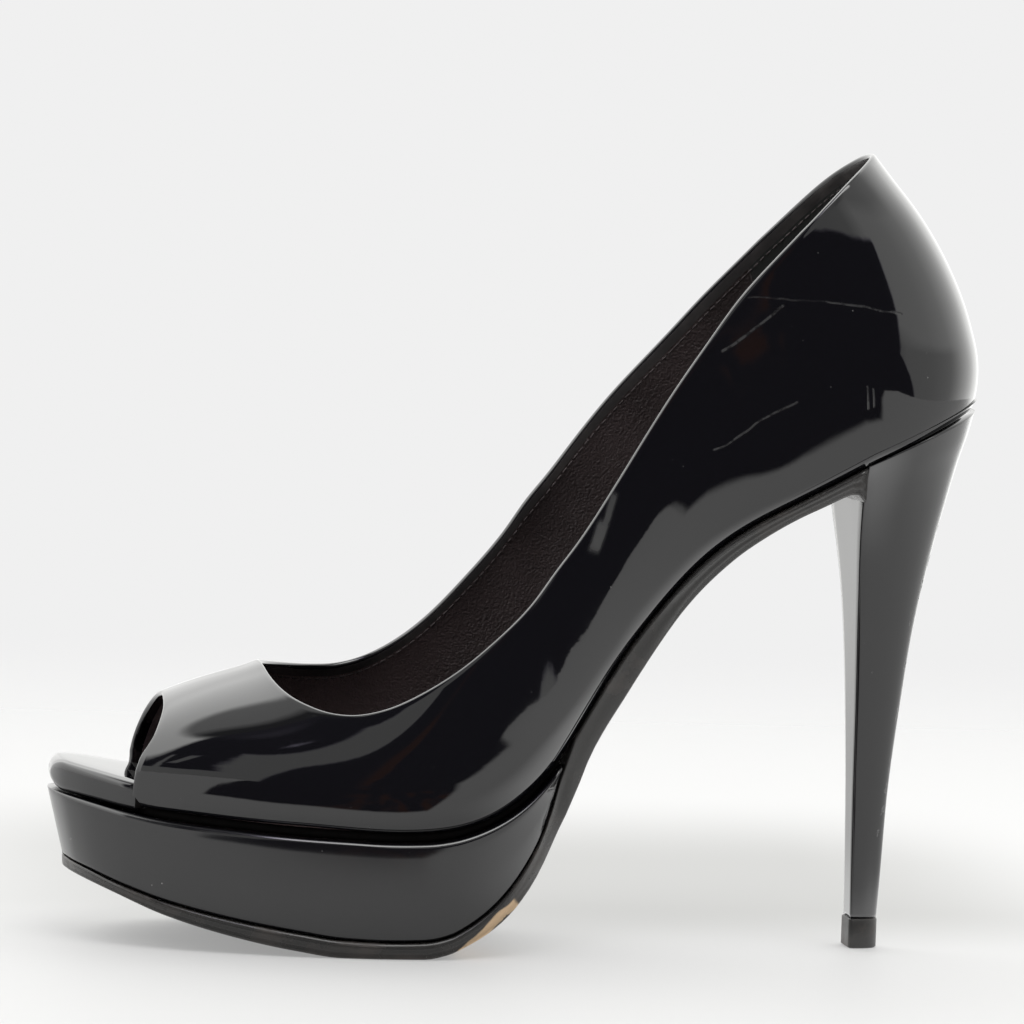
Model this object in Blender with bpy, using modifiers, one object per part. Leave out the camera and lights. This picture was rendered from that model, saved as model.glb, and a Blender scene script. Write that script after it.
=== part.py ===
"""A left peep toe pump on a platform sole with a tall slim heel, for women's size 38 (EU).

The shoe stands on the floor at Z = 0 with its toe towards -X, its outer side towards -Y and its inner
side towards +Y, in metres. A place on the last is a station x along the shoe and a turn v round the
section there: v = 0 is the ridge on top, v = 1 the feather line where upper and sole meet. Tables hold
x as a share of the length behind the toe, heights as shares of the seat height and widths as shares of
the ball width.
"""

import math

import bmesh
import bpy
import numpy as np

# Driving sizes of the shoe
LENGTH = 0.2148
TOE_X = -0.1071
SEAT_HEIGHT = 0.1283
BALL_WIDTH = 0.0786

# Walls, layers and clearances
UPPER_WALL = 0.0016
GAP = 0.0003
FEATHER_INSET = 0.0020
PLATFORM_OVERHANG = 0.0010
GROOVE_HEIGHT = 0.0008
GROOVE_DEPTH = 0.0042
RIM_INSET = 0.0006
RIM_LAP = 0.0007
RIM_RAMP = 0.0022
RIM_ROUND = 0.0012
RIM_CROWN = 0.0004
RIM_SHOULDER = 0.0040
RIM_NOSE = 0.0030
GROOVE_LIP = 0.0002
INSOLE_PLAY = 0.0009
INSOLE_SETBACK = 0.0004
EDGE_ROUND = 0.0009
PLATFORM_TAPER = 0.0008
PLATFORM_RAMP = 0.0030
TOE_DRAFT = 0.0039
TOE_DRAFT_REACH = 0.0300
SOLE_SETBACK = 0.0002
SOLE_TAPER = 0.0012
TAIL_STEP = 0.0030
TOP_PIECE_HEIGHT = 0.0070
TOP_PIECE_PROUD_FRONT = 0.0003
TOP_PIECE_PROUD_SIDE = 0.0002
TOP_PIECE_PROUD_BACK = 0.0001

# Rise of the feather line under the heel, in seat heights for each length of the shoe
SEAT_RISE = 0.770
SEAT_SLOPE = SEAT_RISE * SEAT_HEIGHT / LENGTH

# Height of the heel's foot, on top of the top piece
HEEL_FOOT = TOP_PIECE_HEIGHT + GAP

# Share of the half turn round a section that lies above its widest place
WIDEST_TURN = 0.75
# Roundness of the counter seen from above
BACK_ROUNDNESS = 2.3
# Share of the roll of the lower edge that also shows along the shoe at the back
BACK_ROLL = 0.45
# Half width, as a share of the ball width, below which the insole's edges thin out towards the toe
TOE_FADE = 0.25
EDGE_FADE = 0.15
# Least width of the insole's back end, as a share of the seat's width
SEAT_END = 0.12

# Mesh fineness
UPPER_ROWS = 12
SIDE_STEP = 0.0042
LEAST_PACE = 0.0085
FAN_COLUMNS = 13
FAN_SPREAD = 1.25
SOLE_STEP = 0.0040
WAIST_STEP = 0.0030
INSOLE_STEP = 0.0045
SEAT_STEP = 0.0034
HEEL_LEVELS = 23
HEEL_ARC = 9
TOE_LEAD = (0.0001, 0.0006, 0.0014, 0.0026, 0.0042, 0.0064, 0.0092)

# The last, one row for each section, from the toe to the widest place of the seat
LAST = np.array([
    # x, feather, half_width, centre, bulge, widest, crown, roundness, lean
    (0.0717, 0.2580, 0.3130, 0.0321, 0.0025, 0.0585, 0.1481, 2.05, 0),
    (0.0903, 0.2518, 0.3410, 0.0308, 0.0025, 0.0624, 0.1660, 2.05, 0),
    (0.1276, 0.2455, 0.3842, 0.0244, 0.0038, 0.0663, 0.1988, 2, 0),
    (0.1741, 0.2393, 0.4224, 0.0193, 0.0051, 0.0701, 0.2338, 1.9, 0),
    (0.2207, 0.2346, 0.4542, 0.0142, 0.0051, 0.0701, 0.2650, 1.8, 0),
    (0.2672, 0.2307, 0.4758, 0.0117, 0.0064, 0.0701, 0.3102, 1.72, 0),
    (0.3138, 0.2260, 0.4873, 0.0041, 0.0064, 0.0725, 0.3663, 1.72, 0),
    (0.3603, 0.2237, 0.4822, -0.0099, 0.0076, 0.0779, 0.4388, 1.8, 0),
    (0.4069, 0.2284, 0.4555, -0.0277, 0.0115, 0.0857, 0.5261, 1.95, 0),
    (0.4534, 0.2471, 0.4148, -0.0405, 0.0204, 0.1013, 0.6080, 2.1, 0),
    (0.5000, 0.2954, 0.3664, -0.0443, 0.0331, 0.1247, 0.6664, 2.25, 0),
    (0.5256, 0.3383, 0.3410, -0.0405, 0.0394, 0.1364, 0.6781, 2.3, -0.02),
    (0.5466, 0.3897, 0.3219, -0.0366, 0.0445, 0.1481, 0.6859, 2.35, -0.03),
    (0.5931, 0.5168, 0.2875, -0.0290, 0.0534, 0.1715, 0.6781, 2.4, -0.08),
    (0.6397, 0.6235, 0.2710, -0.0214, 0.0573, 0.1871, 0.6703, 2.4, -0.14),
    (0.6862, 0.7093, 0.2697, -0.0150, 0.0547, 0.1949, 0.6703, 2.4, -0.2),
    (0.7328, 0.7708, 0.2824, -0.0125, 0.0483, 0.1949, 0.6781, 2.4, -0.26),
    (0.7793, 0.8161, 0.3053, -0.0112, 0.0407, 0.1871, 0.6781, 2.4, -0.32),
    (0.8259, 0.8597, 0.3257, -0.0112, 0.0356, 0.1793, 0.6625, 2.4, -0.365),
    (0.8678, 0.8995, 0.3346, -0.0112, 0.0331, 0.1715, 0.6352, 2.4, -0.4),
])
LAST_COLUMNS = {name: i for i, name in enumerate(
    "x feather half_width centre bulge widest crown roundness lean".split())}

# The rounded toe of the sole and insole in front of the last's first row
TOE = np.array([
    # x, half width, centre line
    (0.0000, 0.0000, 0.0384),
    (0.0042, 0.0865, 0.0384),
    (0.0112, 0.1399, 0.0372),
    (0.0205, 0.1832, 0.0372),
    (0.0345, 0.2316, 0.0359),
    (0.0531, 0.2774, 0.0346),
    (0.0717, 0.3130, 0.0321),
])

# Side view of the platform and the sole under it
SOLE = np.array([
    # x, platform top, platform bottom, outsole bottom
    (0.0000, 0.2634, 0.1551, 0.1341),
    (0.0205, 0.2580, 0.1426, 0.1216),
    (0.0438, 0.2510, 0.1302, 0.1083),
    (0.0670, 0.2432, 0.1154, 0.0943),
    (0.1182, 0.2292, 0.0881, 0.0616),
    (0.1881, 0.2190, 0.0624, 0.0304),
    (0.2565, 0.2112, 0.0444, 0.0094),
    (0.3045, 0.2081, 0.0343, 0.0000),
    (0.3510, 0.2058, 0.0320, 0.0000),
    (0.3906, 0.2073, 0.0335, 0.0000),
    (0.4162, 0.2128, 0.0421, 0.0078),
    (0.4348, 0.2206, 0.0577, 0.0218),
    (0.4581, 0.2354, 0.0850, 0.0436),
    (0.4814, 0.2564, 0.1247, 0.0748),
    (0.5000, 0.2798, 0.1691, 0.1115),
    (0.5140, 0.3024, 0.2136, 0.1489),
    (0.5256, 0.3242, 0.2673, 0.1894),
    (0.5345, 0.3429, 0.3242, 0.2229),
])
SOLE_COLUMNS = {name: i for i, name in enumerate("x platform_top platform_bottom tread".split())}

# Side view of the sole behind the platform, up to the breast of the heel
WAIST = np.array([
    # x, outsole bottom
    (0.5345, 0.2229),
    (0.5438, 0.2564),
    (0.5577, 0.3110),
    (0.5675, 0.3531),
    (0.5829, 0.4014),
    (0.6034, 0.4560),
    (0.6238, 0.5113),
    (0.6448, 0.5659),
    (0.6653, 0.6150),
    (0.6862, 0.6571),
    (0.7072, 0.6929),
    (0.7281, 0.7241),
    (0.7495, 0.7506),
    (0.7705, 0.7740),
    (0.7919, 0.7950),
    (0.8156, 0.8153),
    (0.8305, 0.8285),
    (0.8431, 0.8371),
    (0.8510, 0.8355),
    (0.8566, 0.8246),
])

# The upper's outer edge paired with its top line, one row for each pair, from the vamp to the seat
TOP_LINE = np.array([
    # bottom x outer, bottom x inner, bottom turn, top x, outer height, inner height
    (0.1266, 0.1266, 0, 0.2207, 0.4988, 0.4988),
    (0.1243, 0.1229, 0.2, 0.2239, 0.4848, 0.4957),
    (0.1136, 0.1145, 0.42, 0.2323, 0.4669, 0.4918),
    (0.0954, 0.1061, 0.64, 0.2458, 0.4497, 0.4871),
    (0.0885, 0.1006, 0.84, 0.2616, 0.4373, 0.4832),
    (0.0871, 0.0978, 1, 0.2793, 0.4279, 0.4801),
    (0.1369, 0.1415, 1, 0.3007, 0.4240, 0.4786),
    (0.1927, 0.1951, 1, 0.3231, 0.4279, 0.4809),
    (0.2579, 0.2579, 1, 0.3534, 0.4443, 0.4957),
    (0.3277, 0.3277, 1, 0.3906, 0.4778, 0.5316),
    (0.3976, 0.3976, 1, 0.4325, 0.5269, 0.5955),
    (0.4628, 0.4628, 1, 0.4767, 0.5955, 0.6859),
    (0.5093, 0.5093, 1, 0.5116, 0.6594, 0.7607),
    (0.5466, 0.5466, 1, 0.5466, 0.7288, 0.8285),
    (0.5931, 0.5931, 1, 0.5931, 0.8254, 0.9088),
    (0.6397, 0.6397, 1, 0.6397, 0.9260, 0.9844),
    (0.6862, 0.6862, 1, 0.6862, 1.0203, 1.0514),
    (0.7328, 0.7328, 1, 0.7328, 1.1029, 1.1138),
    (0.7793, 0.7793, 1, 0.7793, 1.1761, 1.1723),
    (0.8259, 0.8259, 1, 0.8259, 1.2408, 1.2307),
    (0.8678, 0.8678, 1, 0.8678, 1.2962, 1.2845),
])
# The row of TOP_LINE whose bottom end is the lower corner of the peep toe
PEEP_CORNER = 5

# Top line round the counter, by the share of the way back from the seat's widest place to the back seam
BACK_TOP = np.array([
    # share of the reach, outer height, inner height
    (0, 1.2962, 1.2845),
    (0.25, 1.3461, 1.3352),
    (0.503, 1.3889, 1.3811),
    (0.788, 1.4271, 1.4232),
    (0.957, 1.4458, 1.4443),
    (1, 1.4497, 1.4497),
])

# Back seam in side view
BACK = np.array([
    # height, x
    (0.8730, 0.9963),
    (0.9353, 0.9991),
    (0.9977, 1.0005),
    (1.0366, 1.0005),
    (1.0678, 0.9991),
    (1.1005, 0.9953),
    (1.1380, 0.9884),
    (1.1730, 0.9814),
    (1.2362, 0.9651),
    (1.3087, 0.9404),
    (1.3617, 0.9176),
    (1.4061, 0.8953),
    (1.4497, 0.8743),
    (1.5277, 0.8375),
])

# The heel, one row for each level, from its foot to the seat. Heights are shares of the way from the foot
# to the seat height.
HEEL = np.array([
    # height in front, height behind, breast x, back x, half width, roundness
    (0.0000, 0.0000, 0.8778, 0.9106, 0.0560, 2.3),
    (0.0678, 0.0678, 0.8771, 0.9129, 0.0560, 2.3),
    (0.2248, 0.2248, 0.8752, 0.9171, 0.0611, 2.2),
    (0.4190, 0.4190, 0.8724, 0.9283, 0.0840, 2.1),
    (0.5595, 0.5678, 0.8692, 0.9395, 0.1094, 2.05),
    (0.6339, 0.6587, 0.8669, 0.9493, 0.1336, 2),
    (0.7000, 0.7413, 0.8641, 0.9595, 0.1641, 2),
    (0.7620, 0.8240, 0.8613, 0.9711, 0.2036, 2),
    (0.8157, 0.8942, 0.8594, 0.9809, 0.2468, 2.1),
    (0.8571, 0.9479, 0.8585, 0.9888, 0.2875, 2.3),
    (0.8818, 0.9942, 0.8580, 0.9939, 0.3206, 2.45),
])
HEEL_COLUMNS = {name: i for i, name in enumerate(
    "low_front low_back breast back half_width roundness".split())}

# Height of the insole's top above the platform or the sole, as a share of the seat height
INSOLE = np.array([
    # x, height
    (0.0000, 0.0561),
    (0.0531, 0.0561),
    (0.0903, 0.0553),
    (0.2207, 0.0546),
    (0.3603, 0.0546),
    (0.4534, 0.0514),
    (0.5000, 0.0499),
    (0.5466, 0.0483),
    (0.5931, 0.0468),
    (0.6397, 0.0421),
    (0.6862, 0.0382),
    (0.7328, 0.0343),
    (0.7793, 0.0304),
    (0.8678, 0.0281),
    (0.9935, 0.0265),
])


def station(share):
    """World x of a share of the length behind the toe."""
    return TOE_X + LENGTH * share


def share_of(x):
    """Share of the length behind the toe of a world x."""
    return (x - TOE_X) / LENGTH


def curve(keys, values, at):
    """A smooth curve through the points of a table that never overshoots them."""
    keys = np.asarray(keys, float)
    values = np.asarray(values, float)
    at = np.clip(np.asarray(at, float), keys[0], keys[-1])
    steps = np.diff(keys)
    slopes = np.diff(values) / steps
    tangents = np.zeros(len(keys))
    for i in range(1, len(keys) - 1):
        if slopes[i - 1] * slopes[i] > 0:
            before = 2 * steps[i] + steps[i - 1]
            after = steps[i] + 2 * steps[i - 1]
            tangents[i] = (before + after) / (before / slopes[i - 1] + after / slopes[i])
    tangents[0] = slopes[0]
    tangents[-1] = slopes[-1]
    i = np.clip(np.searchsorted(keys, at, side="right") - 1, 0, len(steps) - 1)
    t = (at - keys[i]) / steps[i]
    return (
        (1 + 2 * t) * (1 - t) ** 2 * values[i]
        + t * (1 - t) ** 2 * steps[i] * tangents[i]
        + t**2 * (3 - 2 * t) * values[i + 1]
        + t**2 * (t - 1) * steps[i] * tangents[i + 1]
    )


def spline(keys, values, at):
    """A natural cubic spline through the points of a table, smooth enough for a glossy surface."""
    keys = np.asarray(keys, float)
    values = np.asarray(values, float)
    at = np.clip(np.asarray(at, float), keys[0], keys[-1])
    steps = np.diff(keys)
    slopes = np.diff(values) / steps
    system = np.eye(len(keys))
    right = np.zeros(len(keys))
    for i in range(1, len(keys) - 1):
        system[i, i - 1 : i + 2] = steps[i - 1], 2 * (steps[i - 1] + steps[i]), steps[i]
        right[i] = 6 * (slopes[i] - slopes[i - 1])
    bend = np.linalg.solve(system, right)
    i = np.clip(np.searchsorted(keys, at, side="right") - 1, 0, len(steps) - 1)
    t = (at - keys[i]) / steps[i]
    return (
        (1 - t) * values[i]
        + t * values[i + 1]
        + steps[i] ** 2 / 6 * (((1 - t) ** 3 - (1 - t)) * bend[i] + (t**3 - t) * bend[i + 1])
    )


def last(name, x):
    """One column of the last's table at a world x, in metres where it is a length."""
    scale = {"feather": SEAT_HEIGHT, "half_width": BALL_WIDTH, "centre": BALL_WIDTH, "bulge": BALL_WIDTH,
             "widest": SEAT_HEIGHT, "crown": SEAT_HEIGHT}.get(name, 1.0)
    return scale * spline(LAST[:, 0], LAST[:, LAST_COLUMNS[name]], share_of(x))


SEAT_X = station(LAST[-1, 0])
PLATFORM_END_X = station(SOLE[-1, 0])
BREAST_X = station(WAIST[-1, 0])


def plan(x):
    """Half width and centre line of the sole seen from above."""
    root = np.sqrt(np.maximum(share_of(x), 0.0))
    first = share_of(x) < TOE[-1, 0]
    width = curve(np.sqrt(TOE[:, 0]), TOE[:, 1], root)
    centre = curve(TOE[:, 0], TOE[:, 2], share_of(x))
    half = np.where(first, BALL_WIDTH * width, last("half_width", x))
    return half, np.where(first, BALL_WIDTH * centre, last("centre", x))


def seat_height(x):
    """Height of the feather line behind the widest place of the seat."""
    return float(last("feather", SEAT_X)) + SEAT_SLOPE * (x - SEAT_X)


def section(x, v, feather=None):
    """Half width and height of the last's section at station x for a turn v of 0 to 1."""
    low = float(last("feather", x)) if feather is None else feather
    widest = float(last("half_width", x) + last("bulge", x))
    inner = float(last("half_width", x)) - FEATHER_INSET
    middle = low + float(last("widest", x))
    high = float(last("feather", x) + last("crown", x))
    power = 2.0 / float(last("roundness", x))
    if v <= WIDEST_TURN:
        angle = 0.5 * math.pi * v / WIDEST_TURN
        return widest * math.sin(angle) ** power, middle + (high - middle) * math.cos(angle) ** power
    angle = 0.5 * math.pi * (v - WIDEST_TURN) / (1 - WIDEST_TURN)
    return inner + (widest - inner) * math.cos(angle), middle - (middle - low) * math.sin(angle)


def turn_at(x, height, feather=None):
    """The turn v at which the section at station x reaches a height above its widest place."""
    low = float(last("feather", x)) if feather is None else feather
    middle = low + float(last("widest", x))
    high = float(last("feather", x) + last("crown", x))
    share = min(max((height - middle) / (high - middle), 0.0), 1.0)
    return WIDEST_TURN * 2 / math.pi * math.acos(share ** (float(last("roundness", x)) / 2))


def side_point(x, v, side):
    """A point of the last in front of the seat's widest place. side is -1 on the outer side, 1 inside."""
    half, height = section(x, v)
    lean = float(last("lean", x))
    feather = float(last("feather", x))
    return np.array([x + lean * (height - feather), float(last("centre", x)) + side * half, height])


def back_reach(turn):
    """Share of the way from the seat's widest place to the back seam that a turn of 0 to 1 reaches."""
    return math.sin(0.5 * math.pi * turn) ** (2 / BACK_ROUNDNESS)


def back_point(turn, v, side):
    """A point of the last round the counter, turn 0 at the seat's widest place and 1 at the back seam."""
    along = back_reach(turn)
    across = max(math.cos(0.5 * math.pi * turn), 0.0) ** (2 / BACK_ROUNDNESS)
    lean = float(last("lean", SEAT_X))
    reach = station(BACK[0, 1]) - SEAT_X
    low = seat_height(SEAT_X + reach * along / (1 - lean * SEAT_SLOPE * (1 - along)))
    half, height = section(SEAT_X, v, low)
    front = SEAT_X + lean * (height - float(last("feather", SEAT_X)))
    back = station(spline(BACK[:, 0], BACK[:, 1], height / SEAT_HEIGHT))
    widest = float(last("half_width", SEAT_X) + last("bulge", SEAT_X))
    roll = 1 - BACK_ROLL * (1 - half / widest) if v > WIDEST_TURN else 1.0
    x = front + (back - front) * along * roll
    return np.array([x, float(last("centre", SEAT_X)) + side * half * across, height])


def surface(place, v, side):
    """A point of the last. place is a world x up to the seat, then 1 more for each full turn behind it."""
    if place <= SEAT_X:
        return side_point(place, v, side)
    return back_point(min(place - SEAT_X, 1.0), v, side)


def edge_pairs(side):
    """Rows of (bottom place, bottom turn, top place, top turn) from the vamp's ridge to the back seam."""
    table = dict(zip("outer inner turn top outer_height inner_height".split(), TOP_LINE.T))
    name = "outer" if side < 0 else "inner"
    heights = table[name + "_height"]
    index = np.arange(len(TOP_LINE), dtype=float)
    rows = []
    bottom_x = station(table[name])
    at = [0.0]
    while at[-1] < index[-1] - 1e-9:
        here = at[-1]
        ahead = min(here + 0.2, index[-1])
        run = float(abs(curve(index, bottom_x, ahead) - curve(index, bottom_x, here)))
        lift = SEAT_HEIGHT * float(abs(curve(index, heights, ahead) - curve(index, heights, here)))
        pace = max(run / 0.2, lift / 0.2, LEAST_PACE)
        stop = index[PEEP_CORNER] if here < PEEP_CORNER - 1e-9 else index[-1]
        at.append(min(here + SIDE_STEP / pace, stop))
    for here in at:
        top_x = station(float(spline(index, table["top"], here)))
        height = SEAT_HEIGHT * float(spline(index, heights, here))
        bottom = (float(curve(index, bottom_x, here)), float(curve(index, table["turn"], here)))
        top_turn = 0.0 if here == 0.0 else turn_at(top_x, height)
        rows.append((*bottom, top_x, top_turn))
    for i in range(1, FAN_COLUMNS + 1):
        turn = (i / FAN_COLUMNS) ** FAN_SPREAD
        place = SEAT_X + turn
        reach = back_reach(turn)
        height = SEAT_HEIGHT * float(spline(BACK_TOP[:, 0], BACK_TOP[:, 1 if side < 0 else 2], reach))
        low = back_point(turn, 1.0, side)[2]
        rows.append((place, 1.0, place, turn_at(SEAT_X, height, low)))
    return rows


def row_shares():
    """Shares from the bottom to the top of a column, closer together where the lower edge rolls under."""
    t = np.linspace(0, 1, UPPER_ROWS + 1)
    return 0.35 * t**2 + 0.65 * t


def upper_mesh():
    """Points and faces of the upper's outer skin, an open band whose columns close round the shoe."""
    outer, inner = edge_pairs(-1), edge_pairs(1)
    loop = [(-1, row) for row in outer] + [(1, row) for row in reversed(inner[1:-1])]
    shares = row_shares()
    points = []
    for side, (bottom, bottom_turn, top, top_turn) in loop:
        for share in shares:
            place = bottom + (top - bottom) * share
            points.append(surface(place, bottom_turn + (top_turn - bottom_turn) * share, side))
    rows = len(shares)
    faces = []
    for c in range(len(loop)):
        d = (c + 1) % len(loop)
        for r in range(rows - 1):
            a, b = c * rows + r, d * rows + r
            faces.append((a, b, b + 1, a + 1))
    return points, faces


def ring_mesh(rings):
    """Points and faces of a closed body through rings of equal count, with a flat face at each end."""
    count = len(rings[0])
    points = [p for ring in rings for p in ring]
    faces = [tuple(reversed(range(count)))]
    for k in range(len(rings) - 1):
        for i in range(count):
            j = (i + 1) % count
            faces.append((k * count + i, k * count + j, (k + 1) * count + j, (k + 1) * count + i))
    faces.append(tuple(range((len(rings) - 1) * count, len(rings) * count)))
    return points, faces


def slab_ring(x, half, centre, low, high, inset_low, inset_high, draft=0.0):
    """A section across a layer of the sole, its edges rounded or set in at the bottom and at the top.

    The bottom stands a draft further back than the top.
    """
    small = min(EDGE_ROUND, 0.35 * (high - low), 0.5 * half)
    outline = [
        (0.0, low), (0.5 * (half - inset_low), low), (half - inset_low - small, low),
        (half - inset_low, low + small), (half - inset_high, high - small),
        (half - inset_high - small, high), (0.5 * (half - inset_high), high), (0.0, high),
    ]
    outline = [(x + draft * (high - z) / (high - low), y, z) for y, z in outline]
    right = [(x, centre + y, z) for x, y, z in outline]
    left = [(x, centre - y, z) for x, y, z in reversed(outline[1:-1])]
    return [np.array(p) for p in right + left]


def toe_draft(x):
    """How far the platform's foot stands behind its top at a station, most at the toe."""
    return TOE_DRAFT * max(1 - (x - TOE_X) / TOE_DRAFT_REACH, 0.0) ** 2


def stations_between(first, final, step, lead=()):
    """World x values from first to final about a step apart, after some given distances behind the first."""
    start = first + (lead[-1] if lead else 0.0)
    count = max(int(round((final - start) / step)), 1)
    return [first + d for d in lead[:-1]] + list(np.linspace(start, final, count + 1))


def sole_line(name, x):
    """A height from the platform's side view."""
    return SEAT_HEIGHT * float(curve(SOLE[:, 0], SOLE[:, SOLE_COLUMNS[name]], share_of(x)))


def platform_mesh():
    """The wrapped block under the forepart, running out in a thin tail behind the ball."""
    rings = []
    for x in stations_between(TOE_X, PLATFORM_END_X, SOLE_STEP, TOE_LEAD):
        half, centre = plan(x)
        draft = toe_draft(x)
        low, high = sole_line("platform_bottom", x + draft), sole_line("platform_top", x)
        grow = PLATFORM_OVERHANG if x > TOE_X + PLATFORM_RAMP else 0.0
        rings.append(slab_ring(x, float(half) + grow, float(centre), low, high, PLATFORM_TAPER, 0.0, draft))
    return ring_mesh(rings)


def outsole_mesh():
    """The thin sole: under the platform, up its back, along the waist and up to the breast."""
    rings = []
    for x in stations_between(TOE_X + SOLE_SETBACK, PLATFORM_END_X, SOLE_STEP, TOE_LEAD):
        half, centre = plan(x)
        half = float(half) - SOLE_SETBACK
        foot = x + toe_draft(x)
        low, high = sole_line("tread", foot), sole_line("platform_bottom", foot) - GAP
        rings.append(slab_ring(foot, half, float(centre), low, high, SOLE_TAPER, SOLE_SETBACK))
    step = float(last("feather", PLATFORM_END_X)) - sole_line("platform_bottom", PLATFORM_END_X)
    for x in stations_between(PLATFORM_END_X, BREAST_X, WAIST_STEP)[1:]:
        half, centre = plan(x)
        high = float(last("feather", x)) - GAP - step * max(1 - (x - PLATFORM_END_X) / TAIL_STEP, 0.0)
        low = SEAT_HEIGHT * float(curve(WAIST[:, 0], WAIST[:, 1], share_of(x)))
        rings.append(slab_ring(x, float(half) + GAP, float(centre), low, high, SOLE_TAPER, SOLE_SETBACK))
    return ring_mesh(rings)


def insole_mesh():
    """The insole: a rolled rim in front of the peep toe, then a board inside the upper up to the seat."""
    rings = []
    for x in stations_between(TOE_X + INSOLE_SETBACK, SEAT_X, INSOLE_STEP, TOE_LEAD):
        rings.append(insole_ring(x))
    back_end = back_point(1.0, 1.0, 1)[0] - UPPER_WALL - GAP
    for x in stations_between(SEAT_X, back_end, SEAT_STEP)[1:]:
        rings.append(insole_ring(x, back_end))
    return ring_mesh(rings)


def insole_ring(x, back_end=None):
    """A section across the insole."""
    rise = SEAT_HEIGHT * float(curve(INSOLE[:, 0], INSOLE[:, 1], share_of(x)))
    if back_end is not None:
        low = seat_height(x)
        turn = min((x - SEAT_X) / (back_end - SEAT_X), 1.0)
        across = max((1 - turn**BACK_ROUNDNESS) ** (1 / BACK_ROUNDNESS), SEAT_END)
        half = float(last("half_width", SEAT_X)) * across
        centre = float(last("centre", SEAT_X))
    else:
        half, centre = (float(value) for value in plan(x))
        low = sole_line("platform_top", x) + GAP if x < PLATFORM_END_X else float(last("feather", x))
    inner_end, outer_end = (station(float(TOP_LINE[PEEP_CORNER, i])) - RIM_LAP for i in (1, 0))
    nose = min((x - TOE_X - INSOLE_SETBACK) / RIM_NOSE, 1.0)
    right = insole_outline(x, half, low, rise, inner_end, nose)
    left = insole_outline(x, half, low, rise, outer_end, nose)
    right = [np.array((x, centre + y, z)) for y, z in right]
    return right + [np.array((x, centre - y, z)) for y, z in reversed(left[1:-1])]


def insole_outline(x, half, low, rise, rim_end, nose):
    """Half a section of the insole from the middle of its underside round to the middle of its top.

    The rim shows in front of rim_end. A nose below 1 draws the section in to the rounded tip of the toe.
    """
    rim = half - (FEATHER_INSET + INSOLE_PLAY) * min(half / (TOE_FADE * BALL_WIDTH), 1.0)
    foot = rim
    groove = low + 0.25 * rise
    if x < rim_end:
        shown = min((rim_end - x) / RIM_RAMP, 1.0)
        rim += (half - RIM_INSET - rim) * shown
        foot = max(rim - GROOVE_DEPTH * shown, 0.3 * rim)
        groove = low + GROOVE_HEIGHT
    top = low + rise
    soft = RIM_ROUND * min(rim / (EDGE_FADE * BALL_WIDTH), 1.0)
    outline = [
        (0.0, low), (0.6 * foot, low), (foot, low), (foot, groove - GROOVE_LIP), (rim - soft, groove),
        (rim, groove + RIM_ROUND), (rim, top - RIM_CROWN - RIM_ROUND), (rim - soft, top - RIM_CROWN),
        (max(rim - RIM_SHOULDER, 0.5 * rim), top), (0.0, top),
    ]
    middle = low + 0.5 * rise
    swell = math.sqrt(1 - (1 - nose) ** 2)
    return [(y, middle + swell * (z - middle)) for y, z in outline]


def heel_ring(z_front, z_back, front, back, half, roundness, centre):
    """A D-shaped section: a flat breast with sharp corners, then sides that close in a rounded back."""
    points = []
    for side in (1, -1):
        arc = []
        for t in np.linspace(0, 1, HEEL_ARC + 1):
            angle = 0.5 * math.pi * t
            along = math.sin(angle) ** (2 / roundness)
            across = max(math.cos(angle), 0.0) ** (2 / roundness)
            arc.append(np.array((front + (back - front) * along, centre + side * half * across,
                                 z_front + (z_back - z_front) * along)))
        points += arc if side == 1 else list(reversed(arc[:-1]))
    return points


def heel_line(name, t):
    """One column of the heel's table, for t of 0 at the foot to 1 at the seat."""
    return float(curve(np.linspace(0, 1, len(HEEL)), HEEL[:, HEEL_COLUMNS[name]], t))


def heel_mesh():
    """The covered heel from its foot up to the seat."""
    centre = float(last("centre", SEAT_X))
    rings = []
    for t in np.linspace(0, 1, HEEL_LEVELS):
        z_front, z_back = (HEEL_FOOT + (SEAT_HEIGHT - HEEL_FOOT) * heel_line(name, t)
                           for name in ("low_front", "low_back"))
        front, back = station(heel_line("breast", t)), station(heel_line("back", t))
        half = BALL_WIDTH * heel_line("half_width", t)
        rings.append(heel_ring(z_front, z_back, front, back, half, heel_line("roundness", t), centre))
    return ring_mesh(rings)


def top_piece_mesh():
    """The rubber tip, a little proud of the heel's foot all round."""
    front = station(heel_line("breast", 0)) - TOP_PIECE_PROUD_FRONT
    back = station(heel_line("back", 0)) + TOP_PIECE_PROUD_BACK
    half = BALL_WIDTH * heel_line("half_width", 0) + TOP_PIECE_PROUD_SIDE
    centre = float(last("centre", SEAT_X))
    rings = [heel_ring(z, z, front, back, half, heel_line("roundness", 0), centre)
             for z in (0.0, 0.25 * TOP_PIECE_HEIGHT, TOP_PIECE_HEIGHT)]
    return ring_mesh(rings)


def material(name, colour, roughness, coat):
    """A plain Principled material."""
    made = bpy.data.materials.new(name)
    made.use_nodes = True
    shader = made.node_tree.nodes["Principled BSDF"]
    shader.inputs["Base Color"].default_value = (*colour, 1.0)
    shader.inputs["Roughness"].default_value = roughness
    shader.inputs["Coat Weight"].default_value = coat
    return made


def add(name, points, faces, made, home, closed=True):
    """Makes one node from points and faces. A closed body has its faces turned outwards."""
    mesh = bpy.data.meshes.new(name)
    mesh.from_pydata([tuple(float(c) for c in p) for p in points], [], faces)
    build = bmesh.new()
    build.from_mesh(mesh)
    bmesh.ops.triangulate(build, faces=build.faces)
    if closed:
        bmesh.ops.recalc_face_normals(build, faces=build.faces)
    build.to_mesh(mesh)
    build.free()
    mesh.materials.append(made)
    node = bpy.data.objects.new(name, mesh)
    home.objects.link(node)
    return node


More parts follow.
